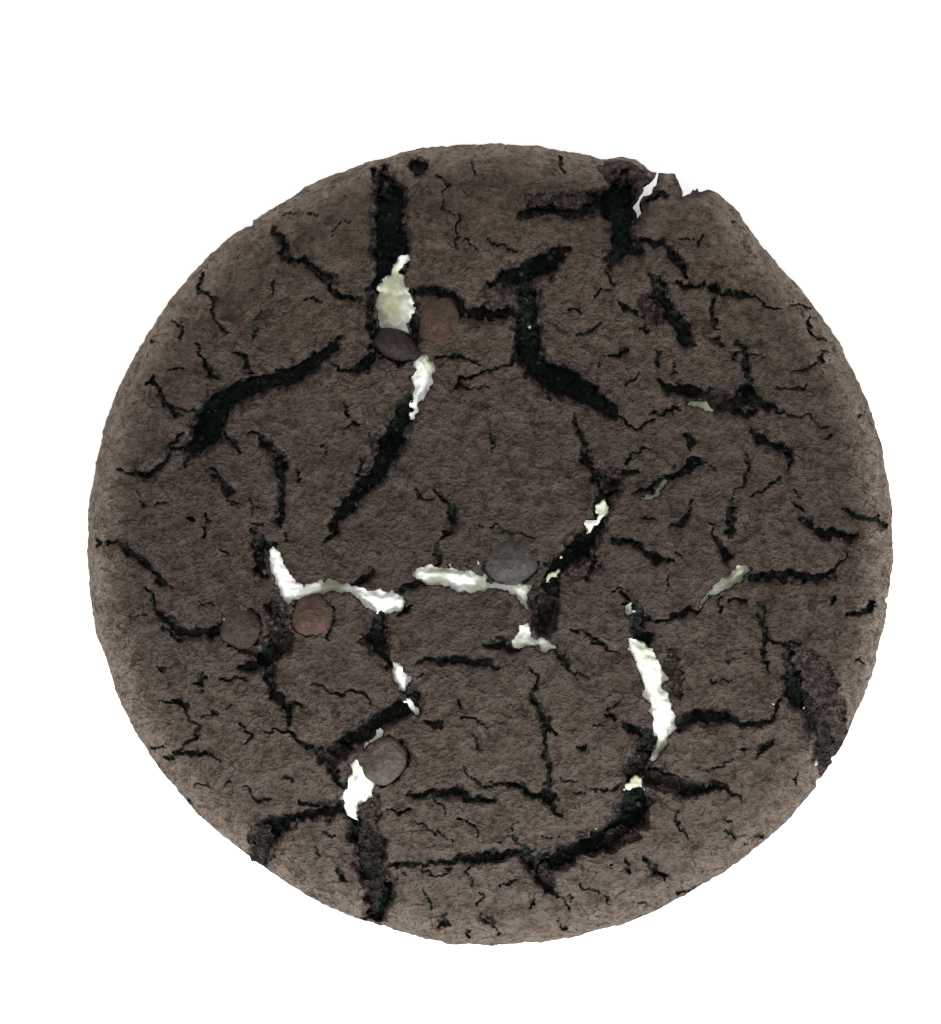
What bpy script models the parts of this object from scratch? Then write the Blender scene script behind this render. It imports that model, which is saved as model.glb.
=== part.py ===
"""Baked chocolate cookie, domed and deeply cracked, with a white filling that shows through its cracks.

Run with: blender --background --python part.py
Metres, +Z up. The origin is the middle of the flat underside, and +Y is away from the viewer.
Places on the cookie are written in millimetres from its middle, seen from above.
"""
import math
import random

import bmesh
import bpy

MM = 0.001

# Body
RADIUS = 45.05            # mean radius of the widest ring
BASE_RADIUS = 40.0        # flat round that rests on the tray
WIDEST_HEIGHT = 5.5       # height of the widest ring
DOME_RISE = 12.6          # from the widest ring to the top
DOME_POWER = 2.6          # how flat the middle is before the shoulder rolls off
UNDERSIDE_TURNS = (35, 65)  # rings of the tucked-under side, in degrees of its quarter ellipse
CENTRE = (0.22, 0.07)     # middle of the outline's box
TURN_STEPS = 72           # flats round the body
RING_RADII = (0, 5, 10, 15, 20, 25, 30, 34, 37, 39.5, 41.5, 43, 44.2)

# The rim departs from a circle: (angle in degrees, outward rise, half width in degrees)
RIM_SWELLS = ((10, 0.45, 60), (57, 1.9, 7), (71, 1.3, 4), (-125, -0.85, 24), (-38, 0.45, 14))

# Low rises and hollows of the top: (waves across x, waves across y, phase, height)
SWELLS = ((2.1, 0.6, 0.4, 0.22), (-0.9, 2.4, 1.9, 0.20), (3.3, 2.7, 4.1, 0.14))

# Filling
PUCK_RADIUS = 34.0
PUCK_FLOOR = 5.6
PUCK_ROOF = 8.8
PUCK_EDGE = 1.2           # rounding of the puck's edge
PUCK_CORNER_SHARE = 0.35  # where that rounding has its middle corner
FILLING_DROP = 1.7        # how far the filling stays below the crust
RIDGE_SHOULDER = 0.7      # height of the rounded top of a ridge
RIDGE_TOP_SHARE = 0.55    # width of a ridge's top over its full width
GAP = 0.3                 # clearance between touching pieces

# Cracks
STATION_STEP = 2.1        # distance between sections of a crack
FLOOR_SHARE = 0.4         # floor width over mouth width
OVER = 1.6                # how far a cutter stands above the crust
MIN_WIDTH = 0.35          # narrowest mouth of a crack
RAGGEDNESS = 0.22         # sideways wander of a crack's middle
NARROW_DEPTH_SHARE = 0.3  # depth left where a crack pinches to nothing
END_DEPTH_SHARE = 0.45    # depth left at a crack's two ends
END_SLOPE = 5             # how fast the full depth is reached from there, per length of the crack
ROOF_COVER = 1.3          # crust kept between a crack's floor and the filling's pocket
WINDOW_FLARE = 0.8        # how much a window widens at the crust

# Each crack: depth, then (x, y, width) down its middle
CRACKS = {
    "north_gully": (3.8, [(-11.5, 41.5, 2.0), (-11.0, 37.5, 3.2), (-10.8, 33.5, 3.8), (-11.4, 30.6, 3.2)]),
    "north_ledge": (1.8, [(3.5, 37.1, 0.5), (7, 37.5, 1.2), (11, 38.2, 1.8), (13.6, 38.9, 2.2)]),
    "north_arch": (2.2, [(0.5, 29.6, 0.7), (4.5, 30.5, 1.6), (7.3, 31.7, 1.5), (8.8, 32.8, 0.6)]),
    "north_shelf": (2.0, [(-1.6, 26.0, 1.0), (1, 25.7, 1.4), (3.6, 26.3, 1.6)]),
    "north_zigzag": (1.6, [(-23.8, 35.3, 0.5), (-22.7, 32.2, 0.9), (-19.8, 31, 0.9), (-17.5, 29.2, 0.8),
                           (-14.4, 27.5, 0.5)]),
    "flap_gully": (3.2, [(15.6, 44.5, 2.4), (14.8, 39, 3.0), (14.5, 35.5, 2.2), (13.6, 31.4, 0.7)]),
    "tower_foot": (2.0, [(16.2, 33.7, 0.7), (19.7, 33.4, 1.0), (20.8, 32, 1.4), (22, 30.2, 0.5)]),
    "right_gully": (3.0, [(18, 30.2, 0.8), (19.2, 27.3, 1.8), (21.2, 24.6, 1.6), (23, 22.4, 0.5)]),
    "centre_north": (3.6, [(4.4, 28.2, 1.4), (4.3, 24, 2.3), (4.5, 21.2, 2.4), (6.5, 19, 3.2), (10, 17.4, 3.0),
                           (12.8, 15.6, 1.8), (14.3, 13.9, 0.5)]),
    "north_west_rim": (3.4, [(-16.6, 23.2, 0.8), (-18.7, 21, 1.6), (-22, 19, 2), (-27, 17.4, 2.3),
                             (-30.5, 15, 3), (-31.6, 12, 2.8), (-33.8, 9.4, 0.6)]),
    "north_west_loop": (1.8, [(-16.2, 19.6, 0.6), (-14.4, 19.6, 1.2), (-13.2, 20.9, 1.5), (-12.9, 23, 0.8)]),
    "west_spur": (1.6, [(-34.6, 10.8, 0.6), (-35.9, 9.6, 0.7), (-38, 7.9, 1.1), (-41, 8.3, 0.4)]),
    "west_inner": (2.4, [(-26.4, 12.4, 0.5), (-24.2, 10.9, 1.2), (-23, 8, 1.3), (-22.9, 4.5, 1.1),
                         (-23.2, 2.4, 0.6)]),
    "west_arc_head": (2.8, [(-26, 1.6, 1.0), (-25.8, -0.7, 1.5), (-25.4, -3.3, 1.0)]),
    "centre_west": (3.4, [(-9, 13.6, 1.4), (-10.3, 12.6, 2.3), (-11.4, 10.4, 2.4), (-12.4, 8, 2), (-15, 5.2, 1.8),
                          (-17.2, 2.2, 1.2), (-18.2, 0.4, 0.5)]),
    "centre_east": (3.2, [(9.5, 14.2, 0.5), (10.8, 10.8, 1.0), (13, 6.6, 2.2), (12.4, 3.2, 1.6), (10.6, 0.3, 2.4),
                          (7.9, -2.2, 2.0), (7.3, -4.9, 1.2)]),
    "middle_east": (1.6, [(23.2, 9.5, 1.1), (20.7, 7.8, 0.9), (15.8, 8.1, 0.6)]),
    "north_east_chain": (2.4, [(27.9, 22.7, 0.6), (28.7, 19.7, 0.9), (28.9, 18, 1.2)]),
    "north_east_recess": (2.8, [(26.4, 16.5, 1.6), (28.6, 16.8, 2.1), (31, 15.5, 0.9), (33.5, 14.6, 0.4)]),
    "east_hook": (1.8, [(29.3, 13, 0.6), (30.8, 11.6, 1.2), (33.3, 10.6, 1), (33.6, 8.5, 0.5)]),
    "east_slot": (2.2, [(34.8, 2.9, 0.8), (37, 1.6, 1.2), (40.7, 0.8, 0.8)]),
    "east_drop": (1.8, [(28.6, 7.4, 0.4), (27.2, 4, 0.8), (27, 1, 0.6)]),
    "west_zigzag": (1.6, [(-42.8, 0.4, 0.5), (-39.5, -1.1, 0.9), (-36.8, -3.3, 0.8), (-35.2, -4.9, 0.4)]),
    "west_lower": (2.2, [(-38.2, -5.1, 0.4), (-36.6, -7.7, 0.9), (-34, -9.7, 1), (-31.3, -9.7, 1.0)]),
    "west_south": (3.0, [(-24.8, -12.8, 1.9), (-24, -15.5, 1.3), (-22.6, -18.3, 1), (-21, -22, 0.5)]),
    "middle_south_west": (2.6, [(-12.3, -8.6, 1.4), (-12.5, -10.8, 1.9), (-11.6, -12.6, 0.9)]),
    "south_west": (3.0, [(-9.4, -17.8, 1.2), (-10.2, -18.7, 1.8), (-13, -20.2, 1.7), (-16.4, -22.5, 1.4)]),
    "lens_foot": (1.8, [(-8, -12.9, 0.5), (-4, -12.6, 0.9), (0, -12.9, 0.9), (2.2, -11.7, 0.6)]),
    "east_inner": (2.4, [(13.6, -5, 0.5), (15.9, -6.4, 1.1), (16.5, -8.6, 1.2)]),
    "east_long": (2.6, [(30.8, -3.4, 1.2), (33, -3.2, 1.3), (36.3, -3.7, 1), (40, -0.9, 0.4)]),
    "east_vertical": (1.8, [(30.1, -6.3, 0.4), (30.9, -10, 0.8), (31.2, -14, 0.4)]),
    "south_east_shelf": (2.4, [(21.9, -19.6, 1.2), (23.6, -18.9, 1.9), (28, -19.7, 0.9), (31.7, -19.3, 0.7),
                               (32.8, -17.2, 0.5)]),
    "south_east_gully": (3.4, [(33.6, -11.5, 1), (33.9, -15, 1.8), (36.2, -18.6, 1.9), (37.8, -22, 2.6),
                               (39.4, -25, 2.4)]),
    "south_west_slot": (1.6, [(-36, -23.6, 0.5), (-33, -23.3, 0.8), (-30.5, -23.6, 0.4)]),
    "south_west_rim": (3.2, [(-17, -29.5, 1.0), (-19.5, -30, 1.2), (-23, -30.9, 2), (-25, -32.5, 3),
                             (-26, -36, 2.2)]),
    "south_valley": (3.6, [(-14.2, -32.2, 2.2), (-13.3, -33.7, 3.2), (-13.2, -36, 2.6), (-12.2, -39, 2.8),
                           (-12.8, -42.5, 1.8)]),
    "south_line": (2.0, [(-9, -27.6, 0.5), (-5, -27.6, 0.9), (-2, -28.1, 1.1), (0.8, -28.4, 0.5)]),
    "south_long": (3.4, [(-11.2, -35.7, 0.5), (-6.5, -35.3, 0.6), (-2.5, -35, 1), (2.5, -34.3, 1.1),
                         (5, -35.4, 2), (9, -34.5, 2.1), (13, -33, 2.9), (15.8, -31.2, 3.4), (16.6, -28.6, 3.0)]),
    "south_spur": (2.2, [(6.1, -36.6, 1.8), (6.6, -38.2, 1.2), (7.5, -39.6, 0.4)]),
    "south_east_branch": (2.6, [(18.9, -25.6, 1.6), (21, -26.7, 1.6), (24.5, -27, 1.1), (28, -27.9, 0.4)]),
    "south_elbow": (2.2, [(1.7, -26.3, 0.5), (4.3, -27.4, 1), (6.6, -27.8, 1.3), (7.4, -29.5, 0.5)]),
    "south_vertical": (1.6, [(5.1, -14.8, 0.5), (5.6, -18.2, 1), (6.4, -23.5, 0.6), (6.8, -26, 0.5)]),
}

# Windows are cracks that go down to the filling: (x, y, width of the white ridge)
WINDOWS = {
    "north_bead": [(-9.8, 31.2, 0.9), (-10.5, 28.6, 2.9), (-10.5, 26, 3.9), (-10.1, 24.2, 1.6)],
    "north_middle": [(-7.3, 20.7, 1.5), (-7.3, 18.5, 2.2), (-8, 15.8, 0.8), (-8.3, 14.6, 0.5)],
    "west_arc": [(-23.8, -0.8, 0.7), (-22.9, -3.8, 2.0), (-21.4, -5.2, 2.0), (-18, -4.7, 1.4), (-14.5, -5.3, 1.1),
                 (-12, -6.2, 2.3), (-9.9, -6.2, 1.0)],
    "middle_strip": [(-7.9, -3.2, 1.2), (-4.5, -3.5, 2.4), (-1.5, -4.1, 1.8), (0.2, -4.4, 0.7)],
    "centre_triangle": [(1.8, -4.7, 0.6), (3.3, -5.3, 1.5), (4, -7.3, 0.6)],
    "lens_tail": [(4.3, -8.9, 0.6), (4.1, -10.5, 1.9), (7.3, -11.5, 0.6)],
    "south_west_small": [(-10.3, -13.2, 0.7), (-9.7, -15, 1.7), (-9.6, -16.1, 0.8)],
    "south_west_bead": [(-14.7, -24.3, 0.9), (-14.3, -26.3, 2.4), (-14.4, -27.8, 2.4), (-15.1, -30.4, 0.9)],
    "east_big": [(16.0, -10.6, 0.8), (17.6, -12.7, 2.2), (18.5, -16, 2.4), (19.4, -19.6, 2.5), (18.5, -23.6, 0.7)],
    "east_strip": [(23.9, -6.4, 0.6), (26, -4.4, 1.1), (29, -2.8, 1.0)],
    "north_east_small": [(22.3, 15.5, 0.6), (23.4, 15.8, 0.8), (24.6, 15.4, 0.6)],
    "south_east_star": [(15.9, -25.9, 0.7), (16.4, -26.6, 1.2), (17.2, -27.0, 0.7)],
}

# Gaps that cut the rim from top to bottom: (x, y, width)
RIM_GAPS = {
    "notch": [(19.9, 45, 1.8), (19.0, 41.4, 1.3), (17.9, 39.9, 1.1), (16.95, 38.6, 0.6), (16.8, 37.6, 0.9),
              (16.7, 36.6, 0.6)],
    "small_gap": [(23.2, 44, 1.8), (22.3, 41, 1.1), (21.9, 39.6, 0.6)],
}

# Broad hollows in the crust: (x, y, half length in x, in y, depth, turn in degrees)
HOLLOWS = {
    "rim_scoop": (37.6, -16.6, 3.2, 4.6, 2.6, 18),
    "lens_pit": (6.4, -7.6, 1.7, 2.3, 2.0, 0),
}

# Chocolate chips: (x, y, half width, rise of the middle above the crust, turn, tilt in degrees)
CHIPS = {
    "chip_north": (-5.5, 24.9, 2.8, -0.9, 20, 8),
    "chip_north_dark": (-10.6, 21.9, 2.1, -1.1, -15, -10),
    "chip_west": (-19.3, -7.6, 2.6, -0.9, 35, 9),
    "chip_west_round": (-27.4, -9.6, 2.8, -1.0, 0, -6),
    "chip_south_west": (-11.5, -24.0, 2.8, -0.8, 60, 7),
    "chip_centre": (2.4, -1.4, 2.8, -1.0, 15, -5),
}
CHIP_HEIGHT_SHARE = 0.62  # half height over half width
CHIP_FLATNESS = 0.86      # narrow half width over wide half width
CHIP_SEGMENTS = 14
CHIP_RINGS = 8

SHARP_ANGLE = 35          # degrees between faces from which an edge is shaded sharp


def remove_startup_objects():
    for item in list(bpy.data.objects):
        bpy.data.objects.remove(item, do_unlink=True)


def new_collection(name):
    collection = bpy.data.collections.new(name)
    bpy.context.scene.collection.children.link(collection)
    return collection


def material(name, colour, roughness):
    finish = bpy.data.materials.new(name)
    finish.use_nodes = True
    shader = finish.node_tree.nodes["Principled BSDF"]
    shader.inputs["Base Color"].default_value = (*colour, 1.0)
    shader.inputs["Roughness"].default_value = roughness
    shader.inputs["Metallic"].default_value = 0.0
    finish.diffuse_color = (*colour, 1.0)
    return finish


def add_object(name, mesh, collection):
    item = bpy.data.objects.new(name, mesh)
    collection.objects.link(item)
    return item


def mesh_from(name, bm):
    """Turns a bmesh in millimetres into a mesh in metres, with the outline's box centred."""
    bmesh.ops.recalc_face_normals(bm, faces=bm.faces)
    bmesh.ops.translate(bm, verts=bm.verts, vec=(-CENTRE[0], -CENTRE[1], 0))
    bmesh.ops.scale(bm, verts=bm.verts, vec=(MM, MM, MM))
    mesh = bpy.data.meshes.new(name)
    bm.to_mesh(mesh)
    bm.free()
    return mesh


def rim_factor(angle):
    """How much wider than a circle the cookie is at an angle: a sum of bell-shaped swells."""
    swell = 0.0
    for centre, rise, half_width in RIM_SWELLS:
        away = (math.degrees(angle) - centre + 180) % 360 - 180
        swell += rise * math.exp(-((away / half_width) ** 2))
    return 1 + swell / RADIUS


def dome(share):
    """Height of the top at a share of the way from the middle to the rim."""
    return WIDEST_HEIGHT + DOME_RISE * math.sqrt(max(0.0, 1 - share**DOME_POWER))


def swell(x, y):
    """Low rises and hollows of the crust, fading out at the rim."""
    fade = max(0.0, 1 - (math.hypot(x, y) / RADIUS) ** 2)
    return fade * sum(
        height * math.sin(across_x * x / RADIUS * math.pi + across_y * y / RADIUS * math.pi + phase)
        for across_x, across_y, phase, height in SWELLS
    )


def crust_height(x, y):
    share = min(1.0, math.hypot(x, y) / (RADIUS * rim_factor(math.atan2(y, x))))
    return dome(share) + swell(x, y)


def turned(name, profile, steps, collection):
    """A profile of (radius, height) in millimetres, from the top down its outer side, turned round Z."""
    mesh = bpy.data.meshes.new(name)
    edges = [(i, i + 1) for i in range(len(profile) - 1)]
    mesh.from_pydata([(radius, 0, height) for radius, height in profile], edges, [])
    item = add_object(name, mesh, collection)
    screw = item.modifiers.new("turn", "SCREW")
    screw.steps = steps
    screw.render_steps = steps
    screw.use_merge_vertices = True
    screw.merge_threshold = 0.0001
    evaluated = item.evaluated_get(bpy.context.evaluated_depsgraph_get())
    solid = bpy.data.meshes.new_from_object(evaluated)
    bpy.data.objects.remove(item, do_unlink=True)
    bm = bmesh.new()
    bm.from_mesh(solid)
    bpy.data.meshes.remove(solid)
    bmesh.ops.remove_doubles(bm, verts=bm.verts, dist=0.0001)
    bmesh.ops.dissolve_degenerate(bm, edges=bm.edges, dist=0.0001)
    return bm


def body_profile():
    """Dome from the middle to the widest ring, then a quarter ellipse tucked under to the flat base."""
    profile = [(radius, dome(radius / RADIUS)) for radius in RING_RADII]
    profile.append((RADIUS, WIDEST_HEIGHT))
    for turn in UNDERSIDE_TURNS:
        out = math.cos(math.radians(turn))
        down = math.sin(math.radians(turn))
        profile.append((BASE_RADIUS + (RADIUS - BASE_RADIUS) * out, WIDEST_HEIGHT * (1 - down)))
    profile += [(BASE_RADIUS, 0.0), (0.0, 0.0)]
    return profile


def make_body(collection):
    bm = turned("body", body_profile(), TURN_STEPS, collection)
    for vert in bm.verts:
        factor = rim_factor(math.atan2(vert.co.y, vert.co.x))
        vert.co.x *= factor
        vert.co.y *= factor
        if vert.co.z > WIDEST_HEIGHT:
            vert.co.z += swell(vert.co.x, vert.co.y)
    return add_object("cookie", mesh_from("cookie", bm), collection)


def make_puck(name, grow, collection):
    """Flat round of filling with a rounded edge, or with grow the pocket that holds it."""
    radius = PUCK_RADIUS + grow
    roof = PUCK_ROOF + grow
    floor = PUCK_FLOOR - grow
    corner = PUCK_CORNER_SHARE * PUCK_EDGE
    profile = [(0, roof), (radius - PUCK_EDGE, roof), (radius - corner, roof - corner),
               (radius, roof - PUCK_EDGE), (radius, floor + corner), (radius - corner, floor), (0, floor)]
    bm = turned(name, profile, TURN_STEPS // 2, collection)
    return add_object(name, mesh_from(name, bm), collection)


def smooth_path(points):
    """Catmull-Rom curve through (x, y, width), with a station about every STATION_STEP."""
    padded = [points[0], *points, points[-1]]
    stations = []
    for before, start, end, after in zip(padded, padded[1:], padded[2:], padded[3:]):
        length = math.dist(start[:2], end[:2])
        count = max(1, round(length / STATION_STEP))
        for step in range(count):
            t = step / count
            stations.append(tuple(
                0.5 * (2 * b + (c - a) * t + (2 * a - 5 * b + 4 * c - d) * t * t + (3 * b - a - 3 * c + d) * t**3)
                for a, b, c, d in zip(before, start, end, after)
            ))
    stations.append(points[-1])
    return stations


def ragged(stations, seed, amount):
    """Moves the inner stations sideways by a seeded random draw, as torn dough is never straight."""
    draw = random.Random(seed)
    moved = [stations[0]]
    for x, y, width in stations[1:-1]:
        moved.append((x + draw.uniform(-amount, amount), y + draw.uniform(-amount, amount), width))
    moved.append(stations[-1])
    return moved


def loft(name, stations, section, collection):
    """Solid through unlike sections: section(x, y, width, share) gives (offset sideways, height) points."""
    bm = bmesh.new()
    rings = []
    last = len(stations) - 1
    for index, (x, y, width) in enumerate(stations):
        before = stations[max(0, index - 1)]
        after = stations[min(last, index + 1)]
        along = math.hypot(after[0] - before[0], after[1] - before[1])
        side_x = -(after[1] - before[1]) / along
        side_y = (after[0] - before[0]) / along
        ring = [
            bm.verts.new((x + side_x * offset, y + side_y * offset, height))
            for offset, height in section(x, y, max(width, MIN_WIDTH), index / last)
        ]
        rings.append(ring)
    for ring, following in zip(rings, rings[1:]):
        for i in range(len(ring)):
            j = (i + 1) % len(ring)
            bm.faces.new((ring[i], ring[j], following[j], following[i]))
    bm.faces.new(rings[0])
    bm.faces.new(rings[-1])
    bm.normal_update()
    bmesh.ops.triangulate(bm, faces=bm.faces)
    return add_object(name, mesh_from(name, bm), collection)


def crack_section(depth, widest):
    """Trench with sloping walls, shallower where it is narrower and at both ends."""

    def section(x, y, width, share):
        crust = crust_height(x, y)
        by_width = min(1.0, NARROW_DEPTH_SHARE + (1 - NARROW_DEPTH_SHARE) * width / widest)
        by_end = min(1.0, END_DEPTH_SHARE + END_SLOPE * min(share, 1 - share))
        floor = crust - depth * by_width * by_end
        if math.hypot(x, y) < PUCK_RADIUS + ROOF_COVER:
            floor = max(floor, PUCK_ROOF + ROOF_COVER)
        floor_half = width * FLOOR_SHARE / 2
        mouth_half = floor_half + (width / 2 - floor_half) * (crust + OVER - floor) / (crust - floor)
        top = crust + OVER
        return [(-mouth_half, top), (mouth_half, top), (floor_half, floor), (-floor_half, floor)]

    return section


def window_section(x, y, width, share):
    """Upright slit down into the pocket, a little wider at the crust."""
    crust = crust_height(x, y)
    half = width / 2 + GAP
    bottom = (PUCK_FLOOR + PUCK_ROOF) / 2
    throat = crust - FILLING_DROP - GAP
    return [(-half - WINDOW_FLARE, crust + OVER), (half + WINDOW_FLARE, crust + OVER), (half, throat),
            (half, bottom), (-half, bottom), (-half, throat)]


def ridge_section(x, y, width, share):
    """The filling that rises into a window, with a rounded top."""
    top = crust_height(x, y) - FILLING_DROP
    half = width / 2
    top_half = half * RIDGE_TOP_SHARE
    bottom = (PUCK_FLOOR + PUCK_ROOF) / 2 + GAP
    shoulder = top - RIDGE_SHOULDER
    return [(-top_half, top), (top_half, top), (half, shoulder), (half, bottom), (-half, bottom),
            (-half, shoulder)]


def rim_gap_section(x, y, width, share):
    """Slit through the rim from above the crust to below the base."""
    half = width / 2
    top = PUCK_FLOOR + DOME_RISE + OVER
    return [(-half, top), (half, top), (half, -OVER), (-half, -OVER)]


def ellipsoid(name, place, half_sizes, turn, tilt, collection):
    """Sphere primitive stretched to half_sizes and tilted, at place in millimetres."""
    bm = bmesh.new()
    bmesh.ops.create_uvsphere(bm, u_segments=CHIP_SEGMENTS, v_segments=CHIP_RINGS, radius=1.0)
    for vert in bm.verts:
        x = vert.co.x * half_sizes[0]
        y = vert.co.y * half_sizes[1]
        z = vert.co.z * half_sizes[2]
        lean = math.radians(tilt)
        x, z = x * math.cos(lean) - z * math.sin(lean), x * math.sin(lean) + z * math.cos(lean)
        spin = math.radians(turn)
        vert.co = (
            place[0] + x * math.cos(spin) - y * math.sin(spin),
            place[1] + x * math.sin(spin) + y * math.cos(spin),
            place[2] + z,
        )
    return add_object(name, mesh_from(name, bm), collection)


def make_chip(name, grow, collection):
    x, y, half, rise, turn, tilt = CHIPS[name]
    sizes = (half + grow, half * CHIP_FLATNESS + grow, half * CHIP_HEIGHT_SHARE + grow)
    label = name if grow == 0 else name + "_socket"
    return ellipsoid(label, (x, y, crust_height(x, y) + rise), sizes, turn, tilt, collection)


def make_cutters(collection):
    for name, (depth, points) in CRACKS.items():
        widest = max(width for x, y, width in points)
        stations = ragged(smooth_path(points), name, RAGGEDNESS)
        loft(name, stations, crack_section(depth, widest), collection)
    for name, points in WINDOWS.items():
        loft(name + "_window", smooth_path(points), window_section, collection)
    for name, points in RIM_GAPS.items():
        loft(name, smooth_path(points), rim_gap_section, collection)
    for name, (x, y, half_x, half_y, depth, turn) in HOLLOWS.items():
        ellipsoid(name, (x, y, crust_height(x, y)), (half_x, half_y, depth), turn, 0, collection)
    make_puck("pocket", GAP, collection)


def cut(item, collection, solver="EXACT"):
    subtract = item.modifiers.new("cut " + collection.name, "BOOLEAN")
    subtract.operation = "DIFFERENCE"
    subtract.operand_type = "COLLECTION"
    subtract.collection = collection
    subtract.solver = solver


def join(item, collection):
    union = item.modifiers.new("join " + collection.name, "BOOLEAN")
    union.operation = "UNION"
    union.operand_type = "COLLECTION"
    union.collection = collection
    union.solver = "EXACT"


def largest_body(bm):
    """Faces of the body with the most faces; the others are scraps that two cuts left loose."""
    waiting = set(bm.faces)
    best = set()
    while waiting:
        reached = {waiting.pop()}
        front = list(reached)
        while front:
            face = front.pop()
            for edge in face.edges:
                for other in edge.link_faces:
                    if other in waiting:
                        waiting.discard(other)
                        reached.add(other)
                        front.append(other)
        best = max(best, reached, key=len)
    return best


def apply_and_tidy(item):
    """Applies the Booleans, and drops loose scraps."""
    evaluated = item.evaluated_get(bpy.context.evaluated_depsgraph_get())
    result = bpy.data.meshes.new_from_object(evaluated)
    bm = bmesh.new()
    bm.from_mesh(result)
    bpy.data.meshes.remove(result)
    kept = largest_body(bm)
    bmesh.ops.delete(bm, geom=[face for face in bm.faces if face not in kept], context="FACES")
    item.modifiers.clear()
    bm.to_mesh(item.data)
    bm.free()


def smooth(item):
    item.data.shade_smooth()
    item.data.set_sharp_from_angle(angle=math.radians(SHARP_ANGLE))


def main():
    remove_startup_objects()
    parts = new_collection("chocolate cookie")
    cutters = new_collection("cutters")
    sockets = new_collection("sockets")
    ridges = new_collection("ridges")

    crust = material("baked cocoa crust", (0.050, 0.037, 0.030), 0.85)
    cream = material("soft white filling", (0.86, 0.84, 0.76), 0.45)
    chocolate = material("dark chocolate", (0.075, 0.042, 0.032), 0.55)

    cookie = make_body(parts)
    filling = make_puck("filling", 0.0, parts)
    make_cutters(cutters)
    for name, points in WINDOWS.items():
        loft(name + "_ridge", smooth_path(points), ridge_section, ridges)
    for name in CHIPS:
        make_chip(name, GAP, sockets)

    # EXACT leaves open edges where this many slanted walls cross
    cut(cookie, cutters, "MANIFOLD")
    cut(cookie, sockets, "MANIFOLD")
    apply_and_tidy(cookie)
    join(filling, ridges)
    cut(filling, sockets)
    apply_and_tidy(filling)

    cookie.data.materials.append(crust)
    filling.data.materials.append(cream)
    smooth(cookie)
    smooth(filling)
    for name in CHIPS:
        chip = make_chip(name, 0.0, parts)
        chip.data.materials.append(chocolate)
        smooth(chip)

    for ridge in list(ridges.objects):
        bpy.data.objects.remove(ridge, do_unlink=True)
    for guide in [*cutters.objects, *sockets.objects]:
        guide.hide_render = True
        guide.display_type = "WIRE"


main()
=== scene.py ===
"""Chocolate cookie with a soft white filling: its crust, filling, chips and crumbs, and the stage.

Lengths are in millimetres unless a comment says otherwise. Places on the cookie are measured from its middle,
seen from above, as in the model's own source.
"""

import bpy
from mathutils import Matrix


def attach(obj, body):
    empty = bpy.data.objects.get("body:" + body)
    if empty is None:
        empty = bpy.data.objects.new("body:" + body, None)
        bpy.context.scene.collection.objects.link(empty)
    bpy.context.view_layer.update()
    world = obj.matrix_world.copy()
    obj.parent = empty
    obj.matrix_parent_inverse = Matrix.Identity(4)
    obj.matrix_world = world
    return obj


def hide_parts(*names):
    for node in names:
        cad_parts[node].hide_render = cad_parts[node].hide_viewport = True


bl_info = {
    "name": "Cracked chocolate cookie",
    "version": (1, 0, 0),
    "blender": (4, 5, 0),
    "location": "View3D > Sidebar > Cookie",
    "description": "Finishes a filled chocolate cookie with cracked crust, filling, chips and crumbs",
    "category": "Add Mesh",
}

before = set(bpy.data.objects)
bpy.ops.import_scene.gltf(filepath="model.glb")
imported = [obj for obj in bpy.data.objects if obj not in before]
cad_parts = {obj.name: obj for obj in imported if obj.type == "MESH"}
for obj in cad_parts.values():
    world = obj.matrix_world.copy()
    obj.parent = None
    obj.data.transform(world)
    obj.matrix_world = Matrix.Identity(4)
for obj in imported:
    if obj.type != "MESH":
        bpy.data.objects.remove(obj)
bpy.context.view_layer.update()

import collections
import itertools
import math

import bpy
import numpy as np

# One millimetre in metres
MM = 0.001

# The cookie's form, as the frame has it
RADIUS = 45.05
BASE_RADIUS = 40.0
WIDEST_HEIGHT = 5.5
DOME_RISE = 12.6
DOME_POWER = 2.6
CENTRE = (0.22, 0.07)

# Swells of the rim: (angle in degrees, rise, half width in degrees)
RIM_SWELLS = (
    (10, 0.45, 60), (57, 1.9, 7), (63.6, 0.75, 1.7), (69.5, 1.15, 2.8), (-125, -0.85, 24), (-38, 0.45, 14),
)

# Low waves of the crust: (half waves over a radius along x, the same along y, phase, height)
SWELLS = ((2.1, 0.6, 0.4, 0.22), (-0.9, 2.4, 1.9, 0.20), (3.3, 2.7, 4.1, 0.14))

# The puck of filling inside the cookie, with a rounded upper edge and sides that tuck in at once
PUCK_RADIUS = 34.0
PUCK_FLOOR = 5.6
PUCK_ROOF = 8.8
PUCK_EDGE = 1.2
PUCK_SIDE_SHARE = 0.2

# How the filling stands in its openings: depth under the crust, and how far it bulges up in wide ones
FILLING_SUNK = 1.25
FILLING_BULGE = 0.5

# Small dents in the rim, bumps where the depth is negative: (angle, depth, half width), angles in degrees
RIM_DENTS = (
    (-31.7, 0.4, 0.5), (-35.6, 0.35, 0.6), (-7.8, 0.3, 0.5), (126.5, 0.25, 0.5), (-126.8, -0.3, 0.5),
)

# Outlines of the two gaps that go right through the rim
RIM_GAPS = (
    ((19.4, 44.5), (18.95, 41.8), (18.75, 41.3), (18.1, 40.7), (17.4, 40.3), (17.4, 39.7), (17.0, 39.2),
     (16.8, 38.7), (16.3, 38.2), (16.2, 37.8), (16.55, 37.2), (16.6, 36.5), (17.3, 37.1), (17.35, 37.6),
     (17.15, 38.1), (17.15, 38.6), (17.4, 39.0), (18.1, 39.2), (18.5, 39.5), (18.55, 40.0), (18.8, 40.2),
     (19.05, 40.7), (19.15, 41.5), (19.9, 44.5)),
    ((21.3, 43.5), (21.1, 41.4), (21.35, 40.8), (21.8, 39.6), (21.7, 39.0), (22.1, 39.2), (22.8, 39.5),
     (23.0, 39.9), (23.2, 39.7), (23.5, 40.1), (23.7, 39.6), (24.4, 39.8), (25.0, 40.2), (25.5, 43.5)),
)

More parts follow.
